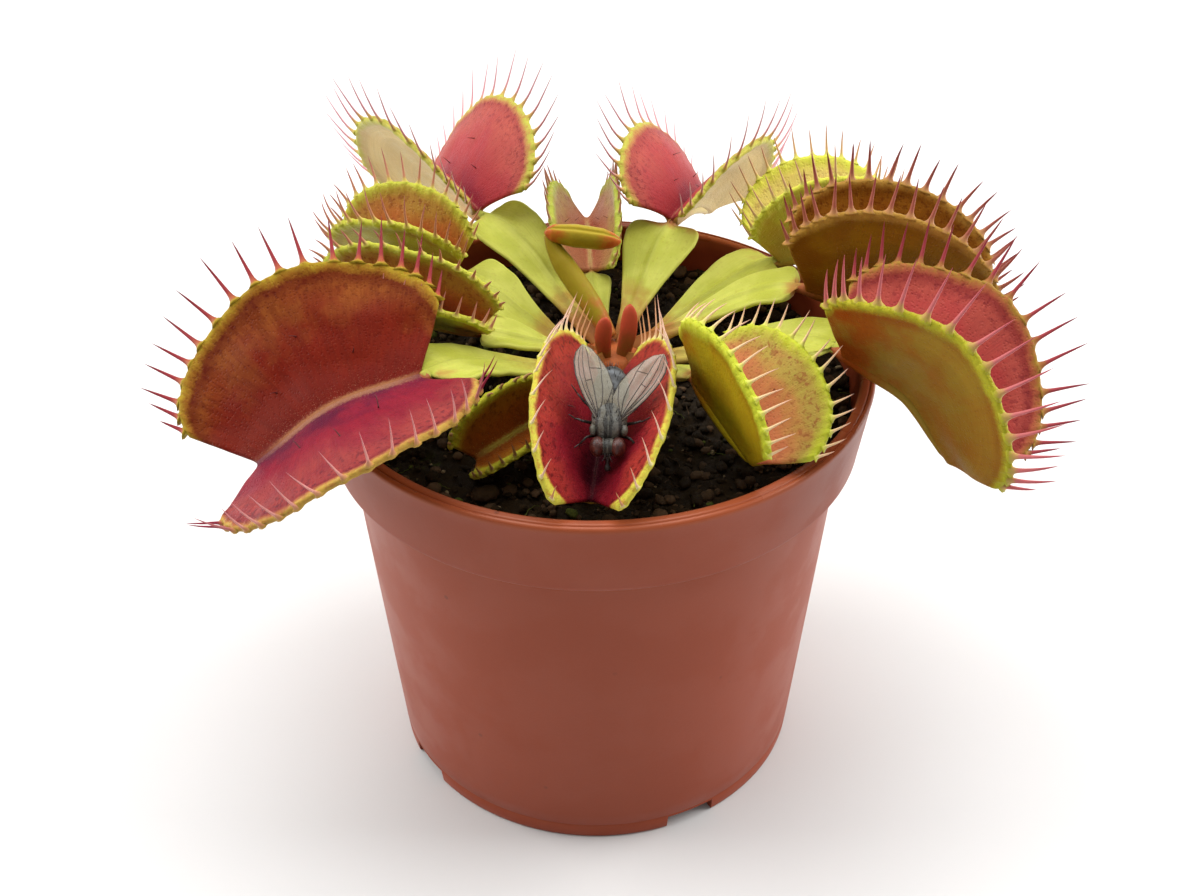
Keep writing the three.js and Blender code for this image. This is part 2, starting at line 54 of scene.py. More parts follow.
# The pot's axis in the frame, and places counted from that axis, in millimetres.
POT_AXIS = np.array([-2.2, -8.8, 0.0])
CROWN_CENTRE = (2.0, 3.0)
CROWN_REACH = 3.5
SOIL_LEVEL = 45.6
SOIL_RADIUS = 28.25
NOTCH_HEADINGS = (-63, -147, 117, 33)
DRAIN_HOLE_RADIUS, DRAIN_RING_RADIUS = 1.75, 14

# Midribs of the largest trap and of a usual one, from which teeth, stalks and hairs take their thickness.
LARGEST_TRAP, USUAL_TRAP = 17.8, 15

# One lobe for a midrib of length 1: half width, height of its straight ends, height of the arch above them.
LOBE_HALF_WIDTH = 0.75
LOBE_END_HEIGHT = 0.36
LOBE_ARCH_HEIGHT = 0.47

# Where a lobe's sheet has points, in millimetres out from the midrib and in from the rim.
FROM_MIDRIB = np.array([0, 0.14, 0.28, 0.45, 0.66, 0.92, 1.2])
FROM_RIM = np.array([2.2, 1.75, 1.4, 1.15, 0.95, 0.75, 0.55, 0.38, 0.25, 0.15, 0.07, 0.02, 0])

# A tooth: share of the way to its tip, and share of its foot's radius there.
TOOTH_WAY = np.array([0, 0.035, 0.08, 0.14, 0.22, 0.33, 0.46, 0.6, 0.74, 0.87, 0.96, 1])
TOOTH_TAPER = np.array([1.0, 0.84, 0.62, 0.48, 0.4, 0.35, 0.3, 0.25, 0.19, 0.12, 0.05, 0.02])

# Half width of a blade: share of the way from the crown, share of the full width.
BLADE_OUTLINE = ((0, 0.2), (0.2, 0.3), (0.42, 0.58), (0.62, 0.88), (0.76, 1.0))

# Tints of a trap, in the order of the list: the inner face by the midrib, halfway and by the rim, the toothed
# margin, the outer face and its blush, the midrib's ridge, and the teeth from foot to tip. ends is the tint of the
# teeth at both ends of a lobe. band is the width of the margin in millimetres, streak and line the strength of
# streaks along the lobe and of the dark line inside the margin, which is partly the lobe's own colour and partly
# painted shade near the rim. corner widens the margin at both ends of a lobe. gloss tints reflections.
PLAIN = dict(gloss="#ffdca8", band=1, streak=0.15, line=0.15, corner=0)
TINT_ORDER = "deep middle light margin outer blush ridge foot tooth tip".split()


def palette(colours, **rest):
    return {**PLAIN, **dict(zip(TINT_ORDER, colours.split())), **rest}


DARK_RED = palette("#5a0806 #661408 #82461a #a08a26 #8f8c34 #7c3c1c #8a5c3a #9c4c34 #8c2c34 #6a1c2a",
                   gloss="#ff8a60", band=0.9, streak=0.5, line=0.6)
CRIMSON = palette("#4a102e #821a2c #923a36 #b08e40 #98803c #8a4a2a #8e6248 #b8805c #d09088 #b8747a",
                  gloss="#ffa098", band=0.5, streak=0.25, line=0.4, ends="#84243a")
ROSE = palette("#8c2438 #aa3c40 #ae5448 #aeac46 #c8b47a #c2a06c #b07a58 #b89458 #c48a90 #caa4ac",
               gloss="#ffb49a", band=0.7, streak=0.2, line=0.3)
# Its strong dark line inside the margin is partly painted shade near the rim.
FAR_ROSE = palette("#92283a #aa3e3e #ac5044 #9a7a30 #8a701e #7c4410 #b07a58 #9a6438 #9c4048 #7c2e3c",
                   gloss="#ffb49a", band=0.8, streak=0.2, line=0.6)
NEAR_GREEN = palette("#92283a #aa3e3e #ac5044 #aaa82c #8e7226 #90400e #b07a58 #b49454 #c06a6c #a85058",
                     gloss="#ffd090", band=0.9, streak=0.2, line=0.6)
BROWN = palette("#a65030 #be703c #b08e3e #b6b83e #a8a640 #98682e #b09a4c #c0ac5a #bc8468 #a4645a",
                band=0.9)
OLIVE = palette("#7c3010 #8a4a14 #925c18 #b0863c #8c6014 #78440c #8a6a30 #b8845a #a86252 #782c34",
                gloss="#ffc880", band=0.7, line=0.3)
# Tints of the back right leaf, paler than its own colour: partly painted light that stands in for light shining
# through the thin leaf.
LIME_PAINTED_GLOW = palette("#d4a05c #e0c478 #dcce6c #d0d44e #ccc848 #c4a63e #c4b458 #d0c868 #d0ac7c #b87e6c",
               band=1.1)
PINK = palette("#b44438 #c87c50 #aea648 #b8c034 #9c8814 #94600c #b89458 #ccc862 #e2c496 #d8a890",
               streak=0.25)
YELLOW_RIM = palette("#320414 #841a26 #a4362c #c0b844 #a89a3c #8a5a30 #30080e #d8c890 #e8c4ac #d4a08c",
                     gloss="#ffa08c", band=0.36, streak=0.2, line=0.25, corner=0.9, ends="#b8845c")
DUSK = palette("#6c3010 #8a4816 #98681c #a8a82c #84620e #6c3c0e #8a7a2c #b0a848 #b08c5c #8c5c44")
PALE_ROSE = palette("#ac5a46 #b87858 #b49c5c #a8b044 #b0a854 #b07c50 #b8a266 #bcb064 #c08e78 #ac6e60")

# neck, heading, pitch, roll, length, root, rim, bow, fan and breadth give a trap its place and its form.
# teeth, reach, curl, lean, fine, wisps, tuft, sweep, crowd and bumps shape its teeth. leave, arrive, start and
# width shape its blade. Pairs hold the left lobe's value first, seen along the midrib from the neck.
Leaf = namedtuple("Leaf", "name neck heading pitch roll length root rim bow breadth teeth reach curl leave arrive "
                          "start width tints seed fan lean fine wisps tuft sweep crowd bumps",
                  defaults=(None, 0, (1, 1), (0, 0), 1, 0, 1, 1))
LEAVES = (
    Leaf("leaf_front_left", (-17.6, -11.6, 55), 201, -20, -6, 17.8, (77, 65), (84, 50), 0.09, 1.16, teeth=18,
         reach=(4.4, 5.6), curl=(72, 6), leave=196, arrive=232, start=47.3, width=9.8, tints=(CRIMSON, DARK_RED),
         seed=1, fan=0.55, fine=(0.58, 0.95), wisps=(0.5, 0)),
    Leaf("leaf_left_low", (-13, 4.2, 50.6), 160, 2, 28, 13.8, (22, 9), (16, 12), 0, 0.98, teeth=15,
         reach=(2.6, 2.8), curl=(60, 15), leave=180, arrive=172, start=48.6, width=6, tints=(BROWN, BROWN),
         seed=2, fine=(0.8, 0.8)),
    Leaf("leaf_left_middle", (-15.7, 12.9, 53), 157, -7, 17, 10.8, (18, 10), (14, 40), 0.01, 1.14, teeth=15,
         reach=(4, 3.6), curl=(30, 10), leave=150, arrive=146, start=47.2, width=8.6, tints=(BROWN, BROWN),
         seed=3, fine=(0.8, 0.8)),
    Leaf("leaf_back_left", (-14.1, 25, 54), 120, -19, 0, 14.2, (30, 33), (40, 50), 0.1, 1.16, teeth=17,
         reach=(6.6, 6.4), curl=(10, 10), leave=122, arrive=150, start=48.7, width=8.8, tints=(ROSE, ROSE),
         seed=4, lean=0.6, fine=(0.62, 0.62)),
    Leaf("leaf_back_small", (-0.5, 18.1, 50), 93, 9, 4, 9.4, (43, 47), (19, 10), 0.02, 1.06, teeth=12,
         reach=(2.4, 2.4), curl=(10, 10), leave=100, arrive=88, start=47.2, width=4.6,
         tints=(PALE_ROSE, PALE_ROSE), seed=5, lean=0.4, fine=(0.8, 0.8)),
    Leaf("leaf_back_right", (9.1, 23.1, 53.8), 66, -21, -6, 13, (30, 26), (70, 38), 0.11, 1.1, teeth=16,
         reach=(6, 6), curl=(10, 30), leave=74, arrive=66, start=48.7, width=8.6, tints=(ROSE, ROSE),
         seed=6, lean=0.6, fine=(0.62, 0.62)),
    Leaf("leaf_right_back", (21.2, 17.4, 51.9), 7, 7, 9, 10.7, (48, 34), (26, 16), 0.02, 1.3, teeth=16,
         reach=(3.6, 3.6), curl=(30, 25), leave=44, arrive=25, start=47.4, width=7.8, tints=(LIME_PAINTED_GLOW, LIME_PAINTED_GLOW),
         seed=7, lean=0.2, fine=(0.75, 0.75)),
    Leaf("leaf_right_middle", (23.2, 6.7, 54.5), -9, -16, 9, 15, (32, 36), (6, 9), 0.01, 1.12, teeth=18,
         reach=(4.4, 4.4), curl=(20, 20), leave=26, arrive=-20, start=48.9, width=7.2, tints=(OLIVE, OLIVE),
         seed=8),
    Leaf("leaf_front_right", (25.4, -8, 55.6), -35, -33, 26, 15.3, (44, 62), (18, 33), 0.12, 1.15, teeth=17,
         reach=(5.4, 6.1), curl=(24, 22), leave=4, arrive=-48, start=47.3, width=10.5,
         tints=(FAR_ROSE, NEAR_GREEN), seed=9, fan=0.25, fine=(0.95, 1)),
    Leaf("leaf_front_low", (10.3, -10.8, 54.2), -63, -15, 28, 11.7, (44, 45), (11, 29), 0, 1.1, teeth=15,
         reach=(3.2, 3.3), curl=(14, 62), leave=-44, arrive=-50, start=48.8, width=4.6, tints=(PINK, PINK),
         seed=10, fine=(0.72, 0.72)),
    Leaf("leaf_with_fly", (1.3, -9, 50.8), -96, -5, 7, 15.6, (30, 42), (40, 42), 0.02, 0.84, teeth=15,
         reach=(3.1, 3.1), curl=(70, 70), leave=-92, arrive=-94, start=47.6, width=5.4,
         tints=(YELLOW_RIM, YELLOW_RIM), seed=11, fine=(0.5, 0.5), tuft=2.1, sweep=0.5, crowd=1.5, bumps=0.4),
    Leaf("leaf_front_small", (-5.7, -9.6, 48.6), 217, -11, 30, 8.1, (48, 50), (16, 16), 0, 0.97, teeth=12,
         reach=(1.5, 1.5), curl=(50, 40), leave=236, arrive=222, start=48.9, width=4, tints=(DUSK, DUSK),
         seed=12),
)

# Each lump's node, place, half sizes, heading and dryness.
PEAT_LUMPS = (("peat_lump_front", (-11, -18.5), (1.5, 1, 0.7), 20, 0.42),
              ("peat_lump_right", (19.5, -12), (1.3, 1, 0.7), -35, 0.5),
              ("peat_lump_back", (17, 8), (1.2, 0.9, 0.6), 60, 0.38))

FLY_SEAT = (1.4, -20.4, 56.1)
FLY_HEADING, FLY_PITCH = -94, -32
# A wing: share of its length, width in front of its middle line, width behind. Veins use the same two directions.
WING_EDGE = ((0, 0.1, 0.2), (0.08, 0.24, 0.9), (0.22, 0.52, 1.5), (0.42, 0.8, 1.62), (0.62, 0.98, 1.44),
             (0.8, 0.92, 1.0), (0.92, 0.64, 0.62), (1, 0.06, 0.05))
WING_VEINS = (((0.02, 0.2), (0.25, 0.92), (0.6, 0.97), (0.96, 0.9)),
              ((0.04, 0.1), (0.35, 0.62), (0.7, 0.66), (0.97, 0.5)),
              ((0.05, 0.0), (0.4, 0.34), (0.75, 0.3), (0.985, 0.05)),
              ((0.06, -0.1), (0.35, -0.1), (0.7, -0.12), (0.96, -0.35)),
              ((0.06, -0.2), (0.3, -0.45), (0.55, -0.6), (0.8, -0.95)),
              ((0.06, -0.3), (0.2, -0.62), (0.38, -0.97)),
              ((0.52, 0.3), (0.53, -0.12)), ((0.68, -0.12), (0.64, -0.72)), ((0.22, 0.56), (0.22, 0.2)))

CAMERA_PLACE, CAMERA_AIM = (-0.0017, -0.15482, 0.14557), (-0.0017, -0.0088, 0.0378)
CAMERA_LENS, CAMERA_TILT = 48.5, -0.0029


# ---------------------------------------------------------------- settings
def rgb(colour):
    """Linear red, green and blue of a colour that may be written as #rrggbb."""
    if not isinstance(colour, str):
        return tuple(colour)
    parts = [int(colour[i : i + 2], 16) / 255 for i in (1, 3, 5)]
    return tuple(c / 12.92 if c <= 0.04045 else ((c + 0.055) / 1.055) ** 2.4 for c in parts)


def dim(colour, share, lift=0):
    """The colour made darker or lighter."""
    return [min(1, c * share + lift) for c in rgb(colour)]


def length(name, description, default):
    return FloatProperty(name=name, description=description, default=default * MM, unit="LENGTH", precision=5)


def tint(name, description, text):
    return FloatVectorProperty(name=name, description=description, default=rgb(text), subtype="COLOR",
                               size=3, min=0, max=1)


class PotSettings(bpy.types.PropertyGroup):
    height: length("Height", "From the floor to the top of the lip", 50.5)
    rim_radius: length("Rim radius", "Outside of the lip", 30)
    lip_width: length("Lip width", "Flat top of the lip", 1.6)
    collar_height: length("Collar height", "Height of the band under the lip", 8.7)
    collar_radius: length("Collar radius", "Foot of the band", 28.9)
    body_radius: length("Body radius", "Wall just under the band", 27.05)
    base_radius: length("Base radius", "Wall at the floor", 23.7)
    wall: length("Wall", "Thickness of the wall", 1.2)
    notch_width: length("Notch width", "Drainage notches in the foot", 6)
    colour: tint("Plastic", "Colour of the moulded plastic", "#8a3a21")
    # The lip's lighter tint is a painted highlight along the top of the lip.
    lip_highlight_colour: tint("Lip", "Colour of the glossier lip", "#9a4c2e")


class LeafSettings(bpy.types.PropertyGroup):
    lobe_thickness: length("Lobe thickness", "Middle of a trap's lobe", 0.56)
    margin_thickness: length("Margin thickness", "Toothed rim of a lobe", 0.74)
    blade_thickness: length("Blade thickness", "Middle of a leaf blade", 0.6)
    tooth_radius: length("Tooth radius", "Foot of a tooth on the largest trap", 0.6)
    blade_colour: tint("Blade", "Main colour of the blades", "#a6a940")
    blade_light: tint("Blade light", "Paler patches and edges of the blades", "#b9bb56")
    blade_blush: tint("Blade blush", "Red towards crown and neck", "#9a4a30")


class SoilSettings(bpy.types.PropertyGroup):
    crumbs: IntProperty(name="Crumbs", description="Loose crumbs of peat", default=2600, min=0, max=5000)
    fibres: IntProperty(name="Fibres", description="Loose root and moss fibres", default=130, min=0, max=1000)
    roughness: length("Roughness", "Height of the clods on the surface", 0.9)
    colour: tint("Peat", "Colour of damp peat", "#281d0e")
    dry_colour: tint("Dry peat", "Colour of drier crumbs", "#5a4530")
    moss_colour: tint("Moss", "Colour of bits of moss", "#4c5a1c")


class FlySettings(bpy.types.PropertyGroup):
    wing_length: length("Wing length", "From root to tip", 7.9)
    body_colour: tint("Body", "Dusty grey of the body", "#5c584a")
    stripe_colour: tint("Stripes", "Dark stripes and legs", "#181715")
    eye_colour: tint("Eyes", "Red-brown of the eyes", "#582618")


class StageSettings(bpy.types.PropertyGroup):
    floor_size: FloatProperty(name="Floor", description="Side of the floor", default=6.0, unit="LENGTH")
    floor_colour: tint("Floor", "Colour of the floor", "#d5d5d5")
    key_power: FloatProperty(name="Key light", description="Power of the large overhead light", default=2.85)
    side_power: FloatProperty(name="Side lights", description="Power of the two side lights", default=2.8)
    sky: FloatProperty(name="Sky", description="Brightness of the surroundings", default=0.55)


# ---------------------------------------------------------------- small maths
def heading_vector(degrees, pitch=0):
    h, p = math.radians(degrees), math.radians(pitch)
    return np.array([math.cos(h) * math.cos(p), math.sin(h) * math.cos(p), math.sin(p)])


def unit(v):
    v = np.asarray(v, float)
    return v / np.maximum(np.linalg.norm(v, axis=-1, keepdims=True), 1e-12)


def smooth(low, high, x):
    t = np.clip((np.asarray(x, float) - low) / (high - low), 0, 1)
    return t * t * (3 - 2 * t)


def rounded(distance, radius):
    """Share of the full thickness at a distance from a rounded edge."""
    return np.sqrt(1 - (1 - np.clip(distance / radius, 0, 1)) ** 2)


def grid_normals(points):
    return unit(np.cross(np.gradient(points, axis=0), np.gradient(points, axis=1)))


def spokes(count):
    """Directions all round, in radians."""
    return np.linspace(0, 2 * math.pi, count, endpoint=False)


def wobble(points, scale, seed=0, octaves=2):
    """Smooth random numbers from -1 to 1 at each point, the same at every run."""
    flat = np.asarray(points, float).reshape(-1, 3) * scale + seed * 17.3
    found = [noise.fractal(Vector(p), 1.0, 2.0, octaves) for p in flat]
    return np.array(found).reshape(np.asarray(points).shape[:-1])


def bezier(a, b, c, d, u):
    u = np.asarray(u, float)[:, None]
    return (1 - u) ** 3 * a + 3 * u * (1 - u) ** 2 * b + 3 * u * u * (1 - u) * c + u**3 * d


def resample(points, count):
    """Points spaced evenly along a smooth curve through the given ones."""
    points = np.asarray(points, float)
    padded = np.vstack([2 * points[0] - points[1], points, 2 * points[-1] - points[-2]])
    fine = []
    for i in range(len(points) - 1):
        p0, p1, p2, p3 = padded[i : i + 4]
        for t in np.linspace(0, 1, 12, endpoint=False):
            fine.append(0.5 * (2 * p1 + (p2 - p0) * t + (2 * p0 - 5 * p1 + 4 * p2 - p3) * t * t
                               + (3 * p1 - p0 - 3 * p2 + p3) * t**3))
    fine = np.array([*fine, points[-1]])
    way = np.concatenate([[0], np.cumsum(np.linalg.norm(np.diff(fine, axis=0), axis=1))])
    at = np.linspace(0, way[-1], count)
    return np.stack([np.interp(at, way, fine[:, k]) for k in range(3)], -1)


# ---------------------------------------------------------------- mesh building
class Shape:
    """Points and faces gathered in millimetres from the pot's axis, with named numbers at each point."""

    def __init__(self):
        self.points, self.faces, self.slots, self.values, self.count = [], [], [], {}, 0

    def add(self, points, faces, slot=0, **values):
        points = np.asarray(points, float).reshape(-1, 3)
        self.points.append(points)
        self.faces += [[self.count + k for k in face] for face in faces]
        self.slots += [slot] * len(faces)
        for name in {**self.values, **values}:
            given = np.asarray(values.get(name, 0.0), float).ravel()
            column = self.values.setdefault(name, [np.zeros(self.count)])
            column.append(np.broadcast_to(given, len(points)))
        self.count += len(points)

    def add_tube(self, path, radii, sides, slot=0, flat=None, flatten=None, named=None, **values):
        """Adds a tube. named is the name of the number that goes from 0 to 1 along it."""
        points, faces, share = tube(path, radii, sides, flat, flatten)
        self.add(points, faces, slot, **({named: share} if named else {}), **values)

    def make(self, name, node, slot, materials):
        mesh = bpy.data.meshes.new(name)
        points = (np.vstack(self.points) + POT_AXIS) * MM
        mesh.from_pydata(points.tolist(), [], self.faces)
        mesh.polygons.foreach_set("use_smooth", [True] * len(mesh.polygons))
        mesh.polygons.foreach_set("material_index", self.slots)
        for key, columns in self.values.items():
            found = mesh.attributes.new(key, "FLOAT", "POINT")
            found.data.foreach_set("value", np.concatenate(columns).astype(np.float32))
        for material in materials:
            mesh.materials.append(material)
        mesh.update()
        piece = bpy.data.objects.new(name, mesh)
        bpy.context.scene.collection.objects.link(piece)
        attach(piece, "root")
        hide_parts(node)
        return piece


def closed_sheet(middle, above, below):
    """A sheet round its middle points. Both faces share the outer edge. Returns points, faces, and for each
    point its row, column and whether it is on the upper face (1), the edge (0.5) or the lower one (0)."""
    rows, columns = middle.shape[:2]
    normal = grid_normals(middle)
    top = middle + normal * above[..., None]
    low = middle - normal * below[..., None]
    ids = np.arange(rows * columns).reshape(rows, columns)
    inside = np.zeros((rows, columns), bool)
    inside[1:-1, 1:-1] = True
    under = ids.copy()
    under[inside] = rows * columns + np.arange(inside.sum())
    points = np.vstack([top.reshape(-1, 3), low[inside]])
    i, j = np.indices((rows, columns))
    row, column = (np.concatenate([k.ravel(), k[inside]]) for k in (i, j))
    side = np.concatenate([np.where(inside, 1.0, 0.5).ravel(), np.zeros(inside.sum())])
    quads = lambda g: np.stack([g[:-1, :-1], g[1:, :-1], g[1:, 1:], g[:-1, 1:]], -1).reshape(-1, 4)
    faces = np.vstack([quads(ids), quads(under)[:, ::-1]])
    return points, faces.tolist(), row, column, side


def ring_faces(rings, around, pointed=False, flip=False):
    """Faces that join rings of points and close both ends, either flat or in a first and a last point."""
    ids = int(pointed) + np.arange(rings * around).reshape(rings, around)
    nxt = np.roll(ids, -1, 1)
    faces = np.stack([ids[:-1], nxt[:-1], nxt[1:], ids[1:]], -1).reshape(-1, 4).tolist()
    if pointed:
        last = 1 + rings * around
        faces += [[0, int(b), int(a)] for a, b in zip(ids[0], nxt[0])]
        faces += [[last, int(a), int(b)] for a, b in zip(ids[-1], nxt[-1])]
    else:
        faces += [ids[0][::-1].tolist(), ids[-1].tolist()]
    return [[face[0], *face[:0:-1]] for face in faces] if flip else faces


def circles(pairs, around):
    """Rings of points, one for each pair of radius and height."""
    turn = spokes(around)
    return np.array([np.stack([r * np.cos(turn), r * np.sin(turn), np.full(around, float(z))], -1)
                     for r, z in pairs])


def tube(path, radii, sides, flat=None, flatten=None):
    """A closed tapering tube. flatten gives the share of the radius kept along the direction flat."""
    path = np.asarray(path, float)
    radii = np.broadcast_to(np.asarray(radii, float), (len(path),))
    along = unit(np.gradient(path, axis=0))
    lead = np.array([0, 0, 1.0]) if flat is None else np.asarray(flat, float)
    if flat is None and abs(along[0] @ lead) > 0.9:
        lead = np.array([1.0, 0, 0])
    side = []
    for step in along:
        lead = unit(lead - step * (lead @ step))
        side.append(lead)
    side = np.array(side)
    other = np.cross(along, side)
    keep = np.ones(len(path)) if flatten is None else np.asarray(flatten, float)
    turn = spokes(sides)
    ring = (side[:, None] * np.cos(turn)[None, :, None] * keep[:, None, None]
            + other[:, None] * np.sin(turn)[None, :, None])
    points = path[:, None] + ring * radii[:, None, None]
    share = np.repeat(np.linspace(0, 1, len(path)), sides)
    return points.reshape(-1, 3), ring_faces(len(path), sides), share


def ball(size, around, rings, bend=None):
    """An ellipsoid as rings of points, with its poles on the first axis. bend changes the unit points."""
    a = np.linspace(0, math.pi, rings + 1)[1:-1]
    b = spokes(around)
    ring = np.stack([np.repeat(np.cos(a), around), np.outer(np.sin(a), np.cos(b)).ravel(),
                     np.outer(np.sin(a), np.sin(b)).ravel()], -1)
    points = np.vstack([[1, 0, 0], ring, [-1, 0, 0]])
    if bend is not None:
        points = bend(points)
    return points * np.asarray(size, float), ring_faces(rings - 1, around, True, True)


def turned(profile, around):
    """A solid turned from [radius, height] pairs that start and end on the axis."""
    rings = circles(profile[1:-1], around)
    points = np.vstack([[0, 0, profile[0][1]], rings.reshape(-1, 3), [0, 0, profile[-1][1]]])
    return points, ring_faces(len(rings), around, True)


# ---------------------------------------------------------------- shader building
class Flow:
    """A number or colour on its way through a material. It can be added, subtracted and multiplied."""

    def __init__(self, wiring, socket):
        self.wiring, self.socket = wiring, socket

    def __add__(self, other):
        return self.wiring.maths("ADD", self, other)

    def __sub__(self, other):
        return self.wiring.maths("SUBTRACT", self, other)

    def __rsub__(self, other):
        return self.wiring.maths("SUBTRACT", other, self)

    def __mul__(self, other):
        return self.wiring.maths("MULTIPLY", self, other)

    def __abs__(self):
        return self.wiring.maths("ABSOLUTE", self)


class Wiring:
    """Adds nodes to one tree. Its methods take flows, numbers or colours."""

    def __init__(self, tree):
        self.tree = tree

    def feed(self, socket, value):
        if isinstance(value, Flow):
            self.tree.links.new(value.socket, socket)
        elif value is not None:
            socket.default_value = (*rgb(value), 1) if socket.type == "RGBA" else value

    def node(self, kind, values=(), **settings):
        """Adds a node and feeds its inputs, which are listed in order or by number or name."""
        made = self.tree.nodes.new("ShaderNode" + kind)
        for key, value in settings.items():
            setattr(made, key, value)
        for key, value in values.items() if isinstance(values, dict) else enumerate(values):
            self.feed(made.inputs[key], value)
        return made

    def add(self, kind, out=0, values=(), **settings):
        return Flow(self, self.node(kind, values, **settings).outputs[out])

    def number(self, name):
        return self.add("Attribute", "Fac", attribute_type="GEOMETRY", attribute_name=name)

    def maths(self, operation, a, b=None):
        return self.add("Math", 0, (a, b), operation=operation)

    def spread(self, value, low, high, to_low=0, to_high=1):
        return self.add("MapRange", 0, (value, low, high, to_low, to_high), interpolation_type="SMOOTHSTEP")

    def blend(self, share, a, b):
        return self.add("Mix", 2, {0: share, 6: a, 7: b}, data_type="RGBA")

    def layers(self, base, *coats):
        """Lays colours over the base, each given with its share."""
        for share, colour in coats:
            base = self.blend(share, base, colour)
        return base

    def ramp(self, value, *stops):
        made = self.node("ValToRGB", (value,))
        made.color_ramp.interpolation = "EASE"
        points = made.color_ramp.elements
        while len(points) < len(stops):
            points.new(0.5)
        for point, (place, colour) in zip(points, stops):
            point.position, point.color = place, (*rgb(colour), 1)
        return Flow(self, made.outputs[0])

    def noise(self, scale, detail=3, vector=None, roughness=0.55):
        return self.add("TexNoise", "Fac", dict(Vector=vector or self.add("TexCoord", "Object"), Scale=scale,
                                                Detail=detail, Roughness=roughness))

    def cells(self, scale):
        return self.add("TexVoronoi", "Distance", dict(Vector=self.add("TexCoord", "Object"), Scale=scale))

    def group(self, tree, **values):
        return {one.name: Flow(self, one) for one in self.node("Group", values, node_tree=tree).outputs}

    def fibres(self, along, across, count):
        return self.group(fibres(), Along=along, Across=across, Count=count)["Lines"]

    def patches(self, scale):
        return self.group(mottle(), Scale=scale)["Patches"]

    def grain(self, scale):
        return self.group(grain(), Scale=scale)


class Material(Wiring):
    """A material with one Principled shader. Constants are set on the shader's own sockets."""

    def __init__(self, name, **constants):
        self.made = bpy.data.materials.new(name)
        self.made.use_nodes = True
        super().__init__(self.made.node_tree)
        self.shader = next(n for n in self.tree.nodes if n.type == "BSDF_PRINCIPLED")
        for key, value in constants.items():
            self.feed(self.shader.inputs[key.replace("_", " ")], value)

    def finish(self, colour, rough=None, height=None, depth=0, strength=1):
        """Feeds the colour, roughness and relief to the shader. depth is in millimetres."""
        self.feed(self.shader.inputs["Base Color"], colour)
        self.feed(self.shader.inputs["Roughness"], rough)
        if height is not None:
            bump = self.add("Bump", 0, dict(Strength=strength, Distance=depth * MM, Height=height))
            self.feed(self.shader.inputs["Normal"], bump)
        return self.made

    def finish_grainy(self, colour, fine, low, high, depth, strength):
        return self.finish(colour, self.spread(fine["Grain"], 0, 1, low, high), fine["Height"], depth, strength)


def effect(name, outputs, **inputs):
    """Makes a wiring function into a shared shader effect with named inputs and outputs, built once."""

    def wrap(fill):
        def tree():
            made = bpy.data.node_groups.get(name)
            if made is None:
                made = bpy.data.node_groups.new(name, "ShaderNodeTree")
                for key, value in inputs.items():
                    socket = made.interface.new_socket(key, in_out="INPUT", socket_type="NodeSocketFloat")
                    socket.default_value = value
                for key in outputs:
                    made.interface.new_socket(key, in_out="OUTPUT", socket_type="NodeSocketFloat")
                entry, leave = made.nodes.new("NodeGroupInput"), made.nodes.new("NodeGroupOutput")
                w = Wiring(made)
                found = fill(w, *(Flow(w, entry.outputs[key]) for key in inputs))
                for key, value in zip(outputs, found):
                    w.feed(leave.inputs[key], value)
            return made

        return tree

    return wrap


@effect("Leaf Glands", ("Dots", "Height"), Scale=6000.0)
def glands(w, scale):
    dots = w.spread(w.cells(scale), 0.16, 0.42, 1, 0)
    return dots * w.spread(w.noise(900, 2), 0.35, 0.62), dots


@effect("Leaf Fibres", ("Lines",), Along=0.0, Across=0.0, Count=90.0)
def fibres(w, along, across, count):
    where = w.add("CombineXYZ", 0, (along * count, across * 3))
    return (w.spread(w.noise(1, 4, where, 0.65), 0.3, 0.7),)


@effect("Mottle", ("Patches",), Scale=300.0)
def mottle(w, scale):
    return (w.spread(w.noise(scale, 4), 0.36, 0.64),)


@effect("Fine Grain", ("Height", "Grain"), Scale=4000.0)
def grain(w, scale):
    fine = w.noise(scale, 5, roughness=0.7)
    return fine, w.spread(fine, 0.3, 0.7)


@effect("Scuffs", ("Marks",), Scale=420.0)
def scuffs(w, scale):
    return (w.spread(w.cells(scale), 0.05, 0.11, 1, 0) * w.spread(w.noise(160, 2), 0.54, 0.64),)


# ---------------------------------------------------------------- pot
def pot_material(pot):
    w = Material("pot_plastic", Specular_IOR_Level=0.42, Specular_Tint="#ffd8c4")
    lip, cloudy, fine = w.number("lip"), w.patches(110), w.grain(3200)
    # The lip gets lower roughness and a lighter tint, which is a painted highlight.
    tone = w.layers(pot.colour, (cloudy * 0.12, dim(pot.colour, 0.82)),
                    (fine["Grain"] * 0.12, dim(pot.colour, 1.35)), (lip, pot.lip_highlight_colour),
                    (w.group(scuffs(), Scale=300)["Marks"] * 0.5, "#4c241a"))
    return w.finish(tone, w.spread(cloudy, 0, 1, 0.4, 0.5) - lip * 0.14, fine["Height"], 0.03, 0.35)


